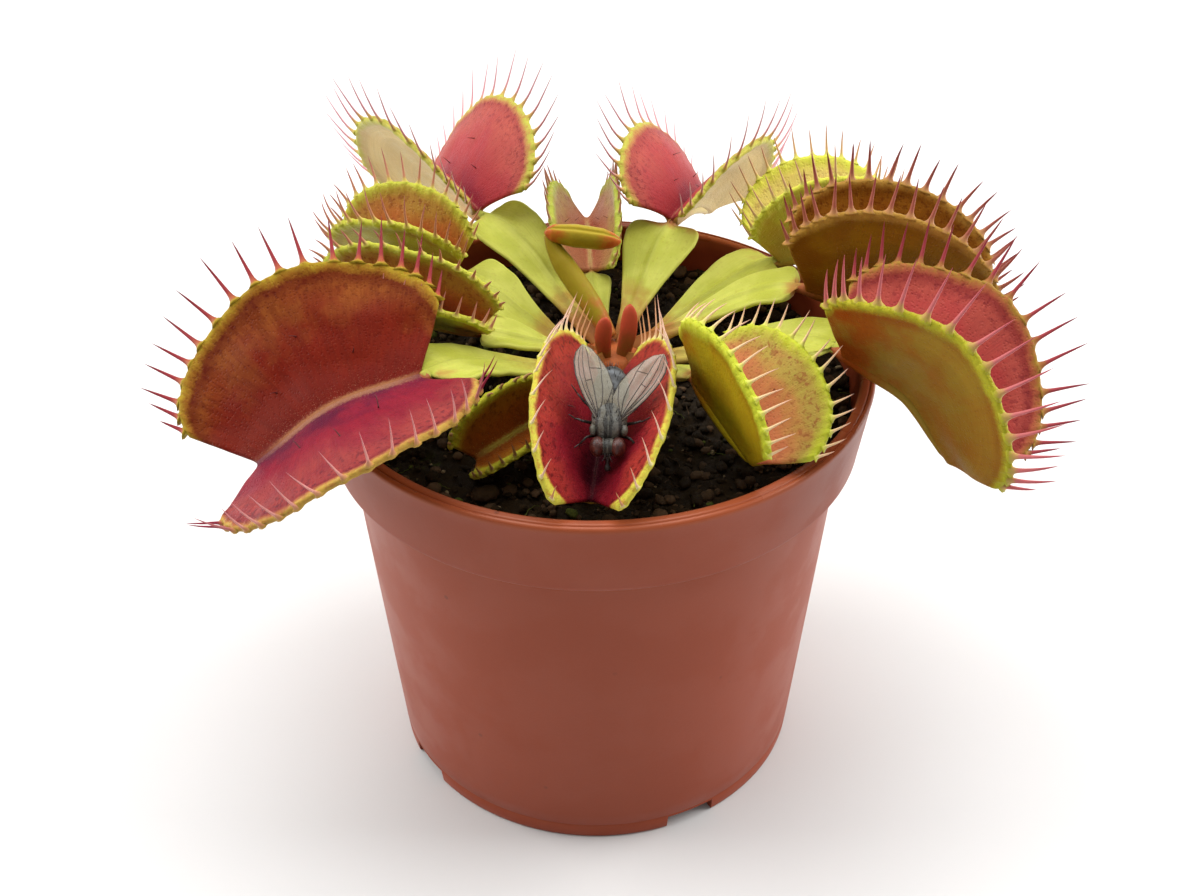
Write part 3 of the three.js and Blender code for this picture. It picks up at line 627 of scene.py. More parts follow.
def make_pot(pot):
    top, rim, lip, band, collar, body, base, wall, notch = (
        getattr(pot, key) / MM for key in ("height", "rim_radius", "lip_width", "collar_height", "collar_radius",
                                           "body_radius", "base_radius", "wall", "notch_width"))
    foot, inner = top - band, rim - lip

    def between(a, b, n):
        return [[a[0] + (b[0] - a[0]) * k / n, a[1] + (b[1] - a[1]) * k / n] for k in range(1, n)]

    profile = [[0, 2], [base - 2.3, 2], [base - 2.15, 1.9], [base - 1.55, 0.12], [base - 1.42, 0],
               [base - 0.35, 0], [base - 0.12, 0.08], [base, 0.3], [base + 0.02, 0.5], [base + 0.16, 1.95],
               [base + 0.1, 2.05], [base + 0.1, 2.15], [base + 0.19, 2.3]]
    profile += between([base + 0.19, 2.3], [body, foot - 0.5], 24)
    profile += [[body, foot - 0.5], [body + 0.06, foot - 0.14], [body + 0.24, foot - 0.02], [collar - 0.42, foot],
                [collar - 0.16, foot + 0.06], [collar - 0.02, foot + 0.24], [collar + 0.01, foot + 0.5]]
    profile += between([collar + 0.01, foot + 0.5], [rim - 0.06, top - 0.75], 6)
    profile += [[rim - 0.06, top - 0.75], [rim, top - 0.5], [rim - 0.06, top - 0.2], [rim - 0.25, top - 0.04],
                [rim - 0.42, top - 0.02], [rim - 0.52, top - 0.14], [rim - 0.6, top - 0.16],
                [rim - 0.7, top - 0.03], [rim - 0.85, top], [inner + 0.35, top], [inner + 0.12, top - 0.07],
                [inner, top - 0.3], [inner - 0.12, top - 2], [collar - wall - 0.2, foot + 1.4],
                [collar - wall - 0.5, foot + 0.7], [body - wall, foot - 0.6]]
    profile += between([body - wall, foot - 0.6], [base - wall, 4.2], 10)
    profile += [[base - wall, 4.2], [base - wall - 0.2, 3.7], [base - wall - 0.7, 3.4], [0, 3.4]]
    points, faces = turned(profile, 320)
    shape = Shape()
    # gloss marks the top of the lip, where the plastic is glossier and a lighter tint paints a highlight.
    gloss = smooth(top - 0.7, top - 0.3, points[:, 2]) * smooth(inner - 1, inner - 0.1, np.hypot(*points.T[:2]))
    shape.add(points, faces, lip=gloss)
    piece = shape.make("pot_shell", "pot", "pot", [pot_material(pot)])
    cutters = [notch_cutter(heading, base, notch) for heading in NOTCH_HEADINGS]
    for k in range(4):
        spot = heading_vector(45 + 90 * k) * DRAIN_RING_RADIUS
        cutters.append(cutter(*tube([spot + [0, 0, 1], spot + [0, 0, 4.4]], DRAIN_HOLE_RADIUS, 40)[:2]))
    carve(piece, cutters)
    piece.data.set_sharp_from_angle(angle=math.radians(48))


def cutter(points, faces):
    mesh = bpy.data.meshes.new("cutter")
    mesh.from_pydata(((np.asarray(points) + POT_AXIS) * MM).tolist(), [], faces)
    made = bpy.data.objects.new("cutter", mesh)
    bpy.context.scene.collection.objects.link(made)
    return made


def notch_cutter(heading, radius, width, high=1.9):
    """A block that is a little narrower at the top."""
    out, across = heading_vector(heading), heading_vector(heading + 90)
    corners = [out * (radius + x) + across * (y * (width / 2 - (0.12 if z > 0 else 0))) + np.array([0, 0, z])
               for z in (-1, high) for x, y in ((-3.4, -1), (3, -1), (3, 1), (-3.4, 1))]
    sides = ([k, (k + 1) % 4, (k + 1) % 4 + 4, k + 4] for k in range(4))
    return cutter(corners, [[3, 2, 1, 0], [4, 5, 6, 7], *sides])


def carve(piece, cutters):
    """Cuts the shapes out of the piece and removes them."""
    for made in cutters:
        change = piece.modifiers.new("cut", "BOOLEAN")
        change.operation, change.object, change.solver = "DIFFERENCE", made, "EXACT"
    bpy.context.view_layer.update()
    carved = bpy.data.meshes.new_from_object(piece.evaluated_get(bpy.context.evaluated_depsgraph_get()))
    piece.modifiers.clear()
    piece.data = carved
    for made in cutters:
        bpy.data.objects.remove(made)


# ---------------------------------------------------------------- soil
def soil_height(x, y):
    return SOIL_LEVEL + 0.022 * y + 0.35 * np.sin(0.42 * x + 1) * np.sin(0.37 * y - 0.5)


def soil_material(soil):
    """Peat. kind is 0 to 0.3 for damp, 0.6 for dry, 0.72 to 0.8 for moss and 0.9 or more for pale crumbs."""
    w = Material("damp_peat", Specular_IOR_Level=0.15)
    kind, fine, clods = w.number("kind"), w.grain(2600), w.patches(420)
    green = w.spread(w.noise(130), 0.55, 0.7) * w.spread(w.noise(900), 0.48, 0.6)
    tone = w.layers(soil.colour, (clods * 0.55, "#3c2d1a"), (fine["Grain"] * 0.45, "#0b0704"),
                    (green * 0.5, soil.moss_colour), (w.spread(kind, 0.3, 0.6), soil.dry_colour),
                    (w.spread(kind, 0.64, 0.72), soil.moss_colour), (w.spread(kind, 0.8, 0.9), "#8a7a5e"))
    return w.finish(tone, w.spread(clods, 0, 1, 0.55, 0.95), fine["Height"], 0.25, 0.9)


def make_soil(soil):
    rng, shape = random.Random(41), Shape()
    around, rings = 300, 96
    share, turn = np.linspace(0, 1, rings + 1)[1:], spokes(around)
    # The surface with its clods, then the side down to the pot's floor.
    x, y = (np.outer(share * SOIL_RADIUS, f(turn)) for f in (np.cos, np.sin))
    place = np.stack([x, y, np.zeros_like(x)], -1)
    clods = wobble(place, 0.55, 1, 5) * 0.75 + np.abs(wobble(place, 1.4, 2, 3)) * 0.5 - 0.2
    z = soil_height(x, y) + soil.roughness / MM * clods * (1 - 0.65 * smooth(0.94, 1, share))[:, None]
    side = circles([(27.0, 42.9), (25.45, 41.2), (22.05, 4.3), (21.5, 3.7)], around)
    body = np.vstack([np.stack([x, y, z], -1), side])
    points = np.vstack([[0, 0, soil_height(0, 0)], body.reshape(-1, 3), [0, 0, 3.7]])
    shape.add(points, ring_faces(len(body), around, True, True), kind=0.1)
    for _ in range(soil.crumbs):
        r, a = SOIL_RADIUS * 0.97 * math.sqrt(rng.random()), rng.uniform(0, 2 * math.pi)
        size = 0.22 + 0.75 * rng.random() ** 3.2
        pale = rng.random()
        kind = 1.0 if pale > 0.972 else 0.7 if pale > 0.935 else 0.2 + pale * 0.4 if pale > 0.6 else 0.1
        size *= 0.6 if kind == 1.0 else 1
        add_crumb(shape, rng, r * math.cos(a), r * math.sin(a), size, kind)
    for _ in range(soil.fibres):
        r, a = SOIL_RADIUS * 0.93 * math.sqrt(rng.random()), rng.uniform(0, 2 * math.pi)
        x, y = r * math.cos(a), r * math.sin(a)
        head, long = rng.uniform(0, 2 * math.pi), rng.uniform(0.8, 2.8)
        line = []
        for _ in range(6):
            head += rng.uniform(-0.5, 0.5)
            x, y = x + long / 5 * math.cos(head), y + long / 5 * math.sin(head)
            if math.hypot(x, y) > SOIL_RADIUS - 0.3:
                break
            line.append([x, y, soil_height(x, y) + 0.35 + 0.3 * rng.random()])
        if len(line) > 3:
            count = len(line) * 3
            shape.add_tube(resample(line, count), 0.07 * np.linspace(1, 0.35, count), 5,
                           kind=rng.choice((0.45, 0.45, 0.7)))
    shape.make("soil_surface", "soil", "soil", [soil_material(soil)])


def add_crumb(shape, rng, x, y, size, kind):
    seed = rng.uniform(0, 90)
    points, faces = ball((size, size * rng.uniform(0.6, 1), size * rng.uniform(0.5, 0.8)), 9, 7)
    points *= 1 + 0.32 * wobble(points, 1.6 / size, seed, 2)[:, None]
    spin = Matrix.Rotation(rng.uniform(0, 6.28), 3, "Z") @ Matrix.Rotation(rng.uniform(-0.5, 0.5), 3, "X")
    points = points @ np.array(spin).T
    points += [x, y, float(soil_height(x, y)) + size * rng.uniform(0.1, 0.5) + 0.1]
    shape.add(points, faces, kind=kind)


def make_peat_lumps(soil):
    material = soil_material(soil)
    for k, (node, (x, y), size, heading, kind) in enumerate(PEAT_LUMPS):
        points, faces = ball(size, 56, 36)
        points *= 1 + 0.14 * wobble(points, 1.1, 5 + k, 3)[:, None] + 0.05 * wobble(points, 4.2, 9 + k, 2)[:, None]
        points = points @ np.array(Matrix.Rotation(math.radians(heading), 3, "Z")).T
        points += [x, y, float(soil_height(x, y)) + size[2] + 0.1]
        shape = Shape()
        shape.add(points, faces, kind=kind)
        shape.make(node + "_rough", node, "soil", [material])


# ---------------------------------------------------------------- leaves
class Trap:
    """Where a trap stands: its neck, the way along its midrib, to its side and out of its opening."""

    def __init__(self, leaf):
        self.leaf = leaf
        self.neck = np.array(leaf.neck, float)
        self.along = heading_vector(leaf.heading, leaf.pitch)
        left = unit(np.cross([0, 0, 1], self.along))
        up = np.cross(self.along, left)
        roll = math.radians(leaf.roll)
        self.opening = up * math.cos(roll) + left * math.sin(roll)
        self.side = unit(np.cross(self.opening, self.along))

    def depth(self, s):
        """From midrib to rim, along the lobe."""
        return (LOBE_END_HEIGHT + LOBE_ARCH_HEIGHT * np.sin(np.pi * s)) * self.leaf.length * self.leaf.breadth

    def flat(self, s, t):
        """The lobe laid flat: way along the midrib and distance from it."""
        x = self.leaf.length * (s + (0.5 - LOBE_HALF_WIDTH * np.cos(np.pi * s) - s) * t)
        return x, self.depth(s) * t

    def point(self, hand, s, t):
        """A point of the left (1) or right (-1) lobe, s along the midrib and t from midrib to rim."""
        leaf, size = self.leaf, self.leaf.length
        s, t = np.broadcast_arrays(np.asarray(s, float), np.asarray(t, float))
        x, v = self.flat(s, t)
        full = (LOBE_END_HEIGHT + LOBE_ARCH_HEIGHT) * size * leaf.breadth
        pick = 0 if hand > 0 else 1
        root = math.radians(leaf.root[pick])
        turn = math.radians(leaf.rim[pick]) - root or 1e-6
        end = root + turn * v / full
        out = full * (math.cos(root) - np.cos(end)) / turn
        rise = full * (np.sin(end) - math.sin(root)) / turn
        q = 2 * x / size - 1
        slope = -4 * leaf.bow * q * (leaf.fan or 1)
        scale = 1 / np.hypot(1, slope)
        # A fanned trap has a bell-shaped bow that is 0 at both ends, the others a parabola.
        arch = leaf.bow * size * ((np.exp(-1.3 * q * q) - 0.2725) / 0.7275 if leaf.fan else 1 - q * q)
        return (self.neck + (x - slope * scale * rise)[..., None] * self.along
                + (arch + scale * rise)[..., None] * self.opening + (hand * out)[..., None] * self.side)

    def inward(self, hand, way, ahead):
        """The direction square to both of these, on the midrib's side."""
        found = unit(np.cross(way, ahead))
        return -found if found @ self.side * hand > 0 else found


def edge_distance(x, v, outline):
    """Distance of points in the flat lobe from its outline."""
    best = np.full(x.shape, 1e9)
    for (x0, v0), (x1, v1) in zip(outline[:-1], outline[1:]):
        dx, dv = x1 - x0, v1 - v0
        t = np.clip(((x - x0) * dx + (v - v0) * dv) / max(dx * dx + dv * dv, 1e-12), 0, 1)
        best = np.minimum(best, np.hypot(x - x0 - t * dx, v - v0 - t * dv))
    return best


def tooth_bumps(leaf, s):
    """1 at the foot of each tooth, with a lower bead between two teeth."""
    wave = np.pi * (s ** (1 / leaf.crowd) * leaf.teeth - 0.5)
    return (np.cos(wave) ** 4 + 0.34 * np.sin(wave) ** 6) * smooth(0, 0.02, s) * smooth(1, 0.98, s)


def add_trap(shape, trap, settings, slot):
    """Adds both lobes as one sheet, the left one with the given slot. Returns the height of its bumps."""
    leaf = trap.leaf
    ends = np.array([0, 0.0012, 0.0035, 0.0075, 0.013])
    s = np.unique(np.concatenate([np.linspace(0.02, 0.98, leaf.teeth * 10), ends, 1 - ends]))
    depth = trap.depth(s)[:, None]
    fit = np.clip(depth / 4.2, 0.3, 1)
    low, high = FROM_MIDRIB[-1] * fit, depth - FROM_RIM[0] * fit
    v = np.hstack([FROM_MIDRIB * fit, low + (high - low) * np.linspace(0, 1, 26)[1:-1], depth - FROM_RIM * fit])
    bump_height = 0.024 * leaf.length**0.9 * leaf.bumps
    rim = depth - v
    reach = v + tooth_bumps(leaf, s)[:, None] * bump_height * (1 - smooth(0, 1.1, rim))
    # A smooth curve in place of the sharp fold at the midrib.
    fillet = 0.95 * fit
    corner = trap.point(1, s[:, None], 0 * s[:, None])
    wing = {hand: trap.point(hand, s[:, None], fillet / depth) for hand in (1, -1)}
    halves = {}
    for hand in (-1, 1):
        u = (0.5 + 0.5 * hand * v / fillet)[..., None]
        curve = (1 - u) ** 2 * wing[-1] + 2 * u * (1 - u) * corner + u * u * wing[1]
        halves[hand] = np.where((v < fillet)[..., None], curve, trap.point(hand, s[:, None], reach / depth))
    middle = np.concatenate([halves[-1][:, ::-1], halves[1][:, 1:]], axis=1)
    both = lambda a: np.concatenate([a[:, ::-1], a[:, 1:]], axis=1)
    x, _ = trap.flat(s[:, None], reach / depth)
    edge_s = np.linspace(0, 1, leaf.teeth * 8 + 1)
    rim_x, rim_v = trap.flat(edge_s, 1 + tooth_bumps(leaf, edge_s) * bump_height / trap.depth(edge_s))
    edge = both(edge_distance(x, reach, [(0, 0), *zip(rim_x, rim_v), (leaf.length, 0)]))
    edge[0] = edge[-1] = 0
    edge[:, 0] = edge[:, -1] = 0
    spine, rim, across = both(v), both(rim), both(v / depth)
    along = np.repeat(s[:, None], middle.shape[1], 1)
    hand = np.repeat((np.arange(middle.shape[1]) >= v.shape[1]).astype(float)[None], len(s), 0)
    place = np.stack([both(x), np.where(hand > 0.5, spine, -spine), 0 * spine], -1)
    sway = wobble(place, 0.16, leaf.seed, 2) * 0.35 * smooth(0.5, 4, spine) * (leaf.length / USUAL_TRAP)
    middle = middle + grid_normals(middle) * sway[..., None]
    lobe, margin = settings.lobe_thickness / MM / 2, settings.margin_thickness / MM / 2
    bead = smooth(1.3, 0.6, rim) * (margin - lobe) * (0.7 + 1.3 * tooth_bumps(leaf, along))
    taper = 1 - 0.45 * along
    above = (lobe + 0.9 * bead + 0.24 * taper * np.exp(-(spine / 0.6) ** 2)) * rounded(edge, 0.36)
    below = (lobe + 0.9 * bead + 0.62 * taper * np.exp(-(spine / 0.85) ** 2)) * rounded(edge, 0.42)
    points, faces, row, column, face = closed_sheet(middle, above, below)
    numbers = dict(along=along, across=across, rim=rim, spine=spine)
    shape.add(points, faces, slot, inner=face, **{key: a[row, column] for key, a in numbers.items()})
    split = (middle.shape[1] - 1) // 2
    shape.slots[-len(faces):] = [slot + (min(column[k] for k in corners) < split) for corners in faces]
    return bump_height


def add_teeth(shape, trap, settings, bump_height, slot):
    leaf = trap.leaf
    rng = random.Random(leaf.seed * 101)
    for hand, pick in ((1, 0), (-1, 1)):
        stout = (leaf.length / LARGEST_TRAP) ** 0.35 * leaf.fine[pick]
        radius = settings.tooth_radius / MM * stout
        start = 0.35 + 0.5 * float(smooth(30, 72, leaf.curl[pick]))
        for i in range(leaf.teeth):
            s = ((i + 0.5 + rng.uniform(-0.08, 0.08)) / leaf.teeth) ** leaf.crowd
            rim = trap.point(hand, s, 1 + bump_height / trap.depth(s))
            outward = unit(rim - trap.point(hand, s, 0.85))
            ahead = unit(trap.point(hand, min(1, s + 0.02), 1) - trap.point(hand, s, 1))
            inward = trap.inward(hand, outward, ahead)
            near_neck = float(smooth(0.3, 0.1, s)) if leaf.tuft > 1 else 0
            long = leaf.reach[pick] * (0.5 + 0.5 * math.sin(math.pi * s) ** 0.6) * rng.uniform(0.84, 1.06)
            wisp = leaf.wisps[pick] * float(smooth(0.3, 0.46, abs(s - 0.5)))
            long *= (1 + wisp) * (1 + (leaf.tuft - 1) * near_neck)
            curl = math.radians(leaf.curl[pick] * (1 - near_neck) * (1 - 0.5 * wisp) + rng.uniform(-7, 7))
            swing = math.radians(rng.uniform(-7, 7))
            lean = leaf.lean * rng.uniform(0.8, 1.2)
            pull = (trap.opening * lean + trap.along * math.copysign(1.6 * wisp, s - 0.5) - ahead * leaf.sweep
                    + (0.9 * trap.opening - 0.8 * trap.along - 0.5 * hand * trap.side) * 1.5 * near_neck)
            sunk = 0.42 * stout
            line, here = [], rim - outward * sunk
            for k, share in enumerate(TOOTH_WAY):
                if k:
                    here = here + way * (share - TOOTH_WAY[k - 1]) * (long + sunk)
                bend = curl * (start + (1.2 - start) * min(1, share * 1.25))
                way = outward * math.cos(bend) + inward * math.sin(bend)
                way = unit(way * math.cos(swing) + ahead * math.sin(swing) + pull * min(1, 3 * share))
                line.append(here)
            shape.add_tube(line, TOOTH_TAPER * radius, 8, slot + pick, ahead, 1 + 0.6 * np.exp(-TOOTH_WAY / 0.07),
                           tooth=np.repeat(TOOTH_WAY, 8), along=s)


def add_trigger_hairs(shape, trap, slot):
    size = trap.leaf.length
    rng = random.Random(trap.leaf.seed * 7)
    u = np.linspace(0, 1, 7)[:, None]
    radii = np.array([0.085, 0.06, 0.05, 0.045, 0.04, 0.03, 0.01]) * (size / USUAL_TRAP)
    for hand in (1, -1):
        for s, t in ((0.34, 0.34), (0.5, 0.56), (0.66, 0.34)):
            foot = trap.point(hand, s, t)
            ahead = unit(trap.point(hand, s + 0.02, t) - foot)
            up = unit(trap.point(hand, s, t + 0.02) - foot)
            inward = trap.inward(hand, up, ahead)
            lean = unit(inward + up * rng.uniform(-0.5, 0.3) + ahead * rng.uniform(-0.4, 0.4))
            long = 0.082 * size * rng.uniform(0.85, 1.1)
            shape.add_tube(foot + inward * 0.15 + lean * u * long + ahead * 0.15 * long * u * u, radii, 6, slot)


def blade_line(leaf):
    """Four points that bend a blade's midline, and the way it leaves the crown."""
    out = heading_vector(leaf.leave)
    start = np.array([*CROWN_CENTRE, leaf.start]) + out * CROWN_REACH
    neck = np.array(leaf.neck, float)
    span = np.linalg.norm(neck - start)
    lead, follow = start + out * 0.4 * span + [0, 0, 1], neck - heading_vector(leaf.arrive) * 0.3 * span
    return (start, lead, follow, neck), out


def blade_width(u):
    """Half width as a share of the full one: narrow at the crown, broad shoulders, a thin neck."""
    xs, ys = zip(*BLADE_OUTLINE)
    rise = np.interp(u, xs, ys)
    for _ in range(3):
        rise = (np.interp(u - 0.03, xs, ys) + np.interp(u + 0.03, xs, ys) + 2 * rise) / 4
    shoulder = np.sqrt(np.clip(1 - (np.clip((u - 0.76) / 0.17, 0, 1)) ** 5, 0, 1))
    wide = np.where(u < 0.76, rise, 0.12 + 0.88 * shoulder)
    return np.where(u > 0.93, 0.12, wide)


def add_blade(shape, leaf, settings, slot):
    bends, out = blade_line(leaf)
    u = np.unique(np.concatenate([np.linspace(0, 0.76, 46), np.linspace(0.76, 0.93, 36), np.linspace(0.93, 1, 8)]))
    inside = np.linspace(1, 0, 8, endpoint=False)[:, None]
    line = np.vstack([bends[0] - out * 2.3 * inside + [0, 0, -0.5] * inside, bezier(*bends, u)])
    u = np.concatenate([np.zeros(8), u])
    across = unit(np.cross(unit(np.gradient(line, axis=0)), [0, 0, 1]))
    full = leaf.width / 2
    half = full * blade_width(u)
    half[0] = half[1] * 0.9
    w = np.sin(np.linspace(-1, 1, 45) * math.pi / 2)
    offset = half[:, None] * w[None]
    rng = random.Random(leaf.seed * 13)
    phase, waves = rng.uniform(0, 6), rng.uniform(9, 13)
    curl = 0.16 * (np.sqrt(offset**2 + 0.3) - math.sqrt(0.3))
    ripple = 0.05 * full * np.sin(u * waves + phase)[:, None] * w * np.abs(w) * smooth(0.3, 0.7, u)[:, None]
    ripple += 0.035 * full * np.sin(u * waves * 1.9 + 2 * phase)[:, None] * w**4 * smooth(0.4, 0.7, u)[:, None]
    channel = -0.3 * np.exp(-((u - 0.1) / 0.25) ** 2)[:, None] * (1 - w**2)
    middle = line[:, None] + across[:, None] * offset[..., None]
    middle[..., 2] += curl + ripple + channel * half[:, None] * 0.4
    middle[..., 2] += wobble(middle, 0.22, leaf.seed + 30, 2) * 0.22 * smooth(0.2, 0.6, u)[:, None]
    gap = (1 - np.abs(w))[None] * half[:, None]
    rows = np.arange(len(u))
    stout = rounded(gap, 0.3) * (1 + 0.8 * smooth(0.3, 0, u)[:, None])
    stout = stout * rounded(np.minimum(rows, len(u) - 1 - rows), 2)[:, None]
    thick, vein = settings.blade_thickness / MM / 2, np.exp(-((offset / 0.5) ** 2))
    above, below = (thick - 0.1 * vein) * stout, (thick + 0.38 * vein) * stout
    points, faces, row, column, _ = closed_sheet(middle, above, below)
    shape.add(points, faces, slot, along=u[row], across=np.abs(w)[column], edge=gap[row, column],
              spine=np.abs(offset)[row, column])


def add_stalk(shape, trap, slot):
    """The round stalk from the blade's end and on under the midrib."""
    approach = bezier(*blade_line(trap.leaf)[0], [0.8, 0.88, 0.95])
    approach[:, 2] -= (0.25, 0.12, 0.05)
    sunk = ((0, 0.2), (0.2, 0.36), (0.5, 0.42), (0.8, 0.34), (0.97, 0.2))
    rib = [trap.point(1, s, 0) - trap.opening * d for s, d in sunk]
    radii = np.interp(np.linspace(0, 1, 44), [0, 0.1, 0.25, 0.4, 0.7, 0.95, 1],
                      [0.2, 0.5, 0.72, 0.78, 0.66, 0.4, 0.12]) * (trap.leaf.length / USUAL_TRAP) ** 0.4
    shape.add_tube(resample(np.vstack([approach, rib]), 44), radii, 18, slot, named="tooth")


def tissue(name, scatter, radius, gloss="#ffeecc", level=0.16, scale=0.0007):
    """Plant tissue: scatter is the share of light that goes in, gloss the tint of reflections."""
    return Material(name, Specular_IOR_Level=level, Specular_Tint=gloss, Subsurface_Weight=scatter,
                    Subsurface_Radius=radius, Subsurface_Scale=scale)


def trap_material(name, tints):
    deep, middle, light, outer, blush, ridge, margin, band = (
        tints[key] for key in ("deep", "middle", "light", "outer", "blush", "ridge", "margin", "band"))
    w = tissue(name, 0.08, (1.0, 0.45, 0.2), tints["gloss"])
    across, rim, spine, along, inner = (w.number(key) for key in ("across", "rim", "spine", "along", "inner"))
    lines, streaks = w.fibres(along, across, 130), w.fibres(along, across, 34)
    dots, patches, fine = w.group(glands(), Scale=2700), w.patches(240), w.grain(3600)
    shift = (patches - 0.5) * 0.24
    # Painted highlights: pale specks that stand for glints of light on the glossy face and along the midrib's
    # ridge.
    painted_glints = w.spread(w.noise(9000, 2), 0.62, 0.72)
    specks = w.spread(w.noise(1700, 4), 0.52, 0.64) * w.spread(rim, 5.5, 1.2)
    ragged = rim + (fine["Height"] - 0.5) * (0.9 * band) + (patches - 0.5) * (0.5 * band)
    if tints["corner"]:
        ragged = ragged - w.spread(abs(along - 0.5), 0.3, 0.5) * tints["corner"]
    # A dark line inside the margin: partly the lobe's own colour, partly painted shade near the rim.
    dark_line_and_shade = w.spread(ragged, band * 1.1, band * 1.5) * w.spread(ragged, band * 3.2, band * 1.9)
    zone = w.layers(w.ramp(across + shift, (0, deep), (0.42, middle), (0.92, light)),
                    (streaks * tints["streak"], dim(deep, 0.6)), (lines * 0.28, dim(middle, 0.6)),
                    (dots["Dots"] * 0.3, dim(middle, 0.5)), (painted_glints * 0.22, dim(light, 1.6, 0.03)),
                    (specks * 0.6, dim(deep, 0.5)), (dark_line_and_shade * tints["line"], dim(middle, 0.5)))
    edge = w.layers(margin, (patches * 0.5, dim(margin, 0.7)), (w.spread(ragged, 0.1, band) * 0.45, light),
                    (specks * 0.4, light))
    worn = w.spread(spine + (fine["Height"] - 0.5) * 1.3, 1, 0.3)
    # The last coat here is a painted highlight: pale glints along the midrib's ridge.
    face = w.layers(zone, (w.spread(ragged, band * 1.7, band * 0.4), edge),
                    (worn * w.spread(abs(along - 0.45), 0.55, 0.25, 0.1, 0.85), ridge),
                    (painted_glints * w.spread(spine, 3.5, 0.3) * 0.5, dim(ridge, 1.5, 0.1)))
    veins = w.fibres(rim * 0.07, along, 34)
    belt = w.spread(rim, 1.2, 2.2) * w.spread(rim, 5.5, 2.6)
    back = w.layers(outer, (patches * 0.4, blush), (belt * 0.3, dim(outer, 1.5)), (veins * 0.3, dim(outer, 0.6)),
                    (streaks * 0.14, blush), (dots["Dots"] * 0.12, blush),
                    (w.spread(along - shift, 0.42, 0, 0, 0.95), blush),
                    (w.spread(ragged, band * 1.5, band * 0.4) * 0.9, margin))
    return w.finish(w.blend(w.spread(inner, 0.4, 0.6), back, face),
                    w.spread(fine["Grain"] + patches, 0, 2, 0.36, 0.54),
                    lines * 0.4 + fine["Height"] * 0.5 - dots["Height"] * 0.8, 0.07, 0.6)


def tooth_material(name, tints):
    w = tissue(name, 0.06, (1.0, 0.4, 0.25), "#ffd8c0")
    fine = w.grain(5200)
    way = w.number("tooth") + (fine["Grain"] - 0.5) * 0.06
    tone = w.ramp(way, (0, tints["margin"]), (0.1, tints["foot"]), (0.26, tints["tooth"]), (1, tints["tip"]))
    if "ends" in tints:
        far = w.spread(abs(w.number("along") - 0.5), 0.3, 0.42)
        tone = w.blend(far * w.spread(way, 0.02, 0.2), tone, tints["ends"])
    return w.finish_grainy(tone, fine, 0.32, 0.46, 0.03, 0.4)


def blade_material(settings):
    w = tissue("leaf_blade", 0.1, (0.8, 1.0, 0.2))
    along, across, edge, spine = (w.number(key) for key in ("along", "across", "edge", "spine"))
    lines, patches, fine = w.fibres(across, along, 16), w.patches(200), w.grain(3000)
    ragged = along + (patches - 0.5) * 0.16
    blush = w.maths("MAXIMUM", w.spread(ragged, 0.42, 0.04, 0, 0.85), w.spread(ragged, 0.88, 1.02, 0, 0.8))
    tone = w.layers(settings.blade_colour, (patches, settings.blade_light), (lines * 0.16, "#7c8a2c"),
                    (w.group(glands(), Scale=2300)["Dots"] * 0.16, "#7c5228"),
                    (w.spread(edge, 0.4, 0), settings.blade_light),
                    (w.spread(spine, 0.5, 0) * 0.28, "#8a8a40"), (blush, settings.blade_blush))
    return w.finish(tone, w.spread(fine["Grain"], 0, 1, 0.36, 0.5), lines * 0.7 + fine["Height"] * 0.7, 0.06, 0.5)


def stalk_material(name, tints):
    w = tissue(name, 0.06, (1.0, 0.5, 0.2))
    fine = w.grain(3200)
    way = w.number("tooth") + (fine["Grain"] - 0.5) * 0.1
    tone = w.ramp(way, (0, "#a4a044"), (0.12, "#a05a38"), (0.3, tints["blush"]), (0.6, tints["outer"]))
    return w.finish_grainy(tone, fine, 0.36, 0.5, 0.04, 0.4)


def two_tone(name, scale, low, high):
    w = Material(name, Roughness=0.4)
    return w.finish(w.blend(w.noise(scale, 2), low, high))


def make_leaf(leaf, settings, shared):
    trap, shape = Trap(leaf), Shape()
    bump_height = add_trap(shape, trap, settings, 0)
    add_teeth(shape, trap, settings, bump_height, 2)
    add_blade(shape, leaf, settings, 4)
    add_stalk(shape, trap, 5)
    add_trigger_hairs(shape, trap, 6)
    short = leaf.name[5:]
    materials = [trap_material(f"lobe_{short}_{k}", tints) for k, tints in enumerate(leaf.tints)]
    materials += [tooth_material(f"teeth_{short}_{k}", tints) for k, tints in enumerate(leaf.tints)]
    materials += [shared[0], stalk_material(f"stalk_{short}", leaf.tints[1]), shared[1]]
    shape.make(leaf.name + "_grown", leaf.name, "leaf", materials)


# ---------------------------------------------------------------- crown, shoots and young leaf
def fresh_material(name, low, high, low_at=0, high_at=1):
    """Young tissue that changes colour along its length."""
    w = tissue(name, 0.12, (1.0, 0.4, 0.2), "#ffd8a0", 0.25, 0.0008)
    fine = w.grain(3600)
    way = w.number("share") + (w.patches(500) - 0.5) * 0.3
    tone = w.layers(low, (w.spread(way, low_at, high_at), high), (fine["Grain"] * 0.18, dim(low, 0.6)))
    return w.finish_grainy(tone, fine, 0.3, 0.46, 0.05, 0.5)


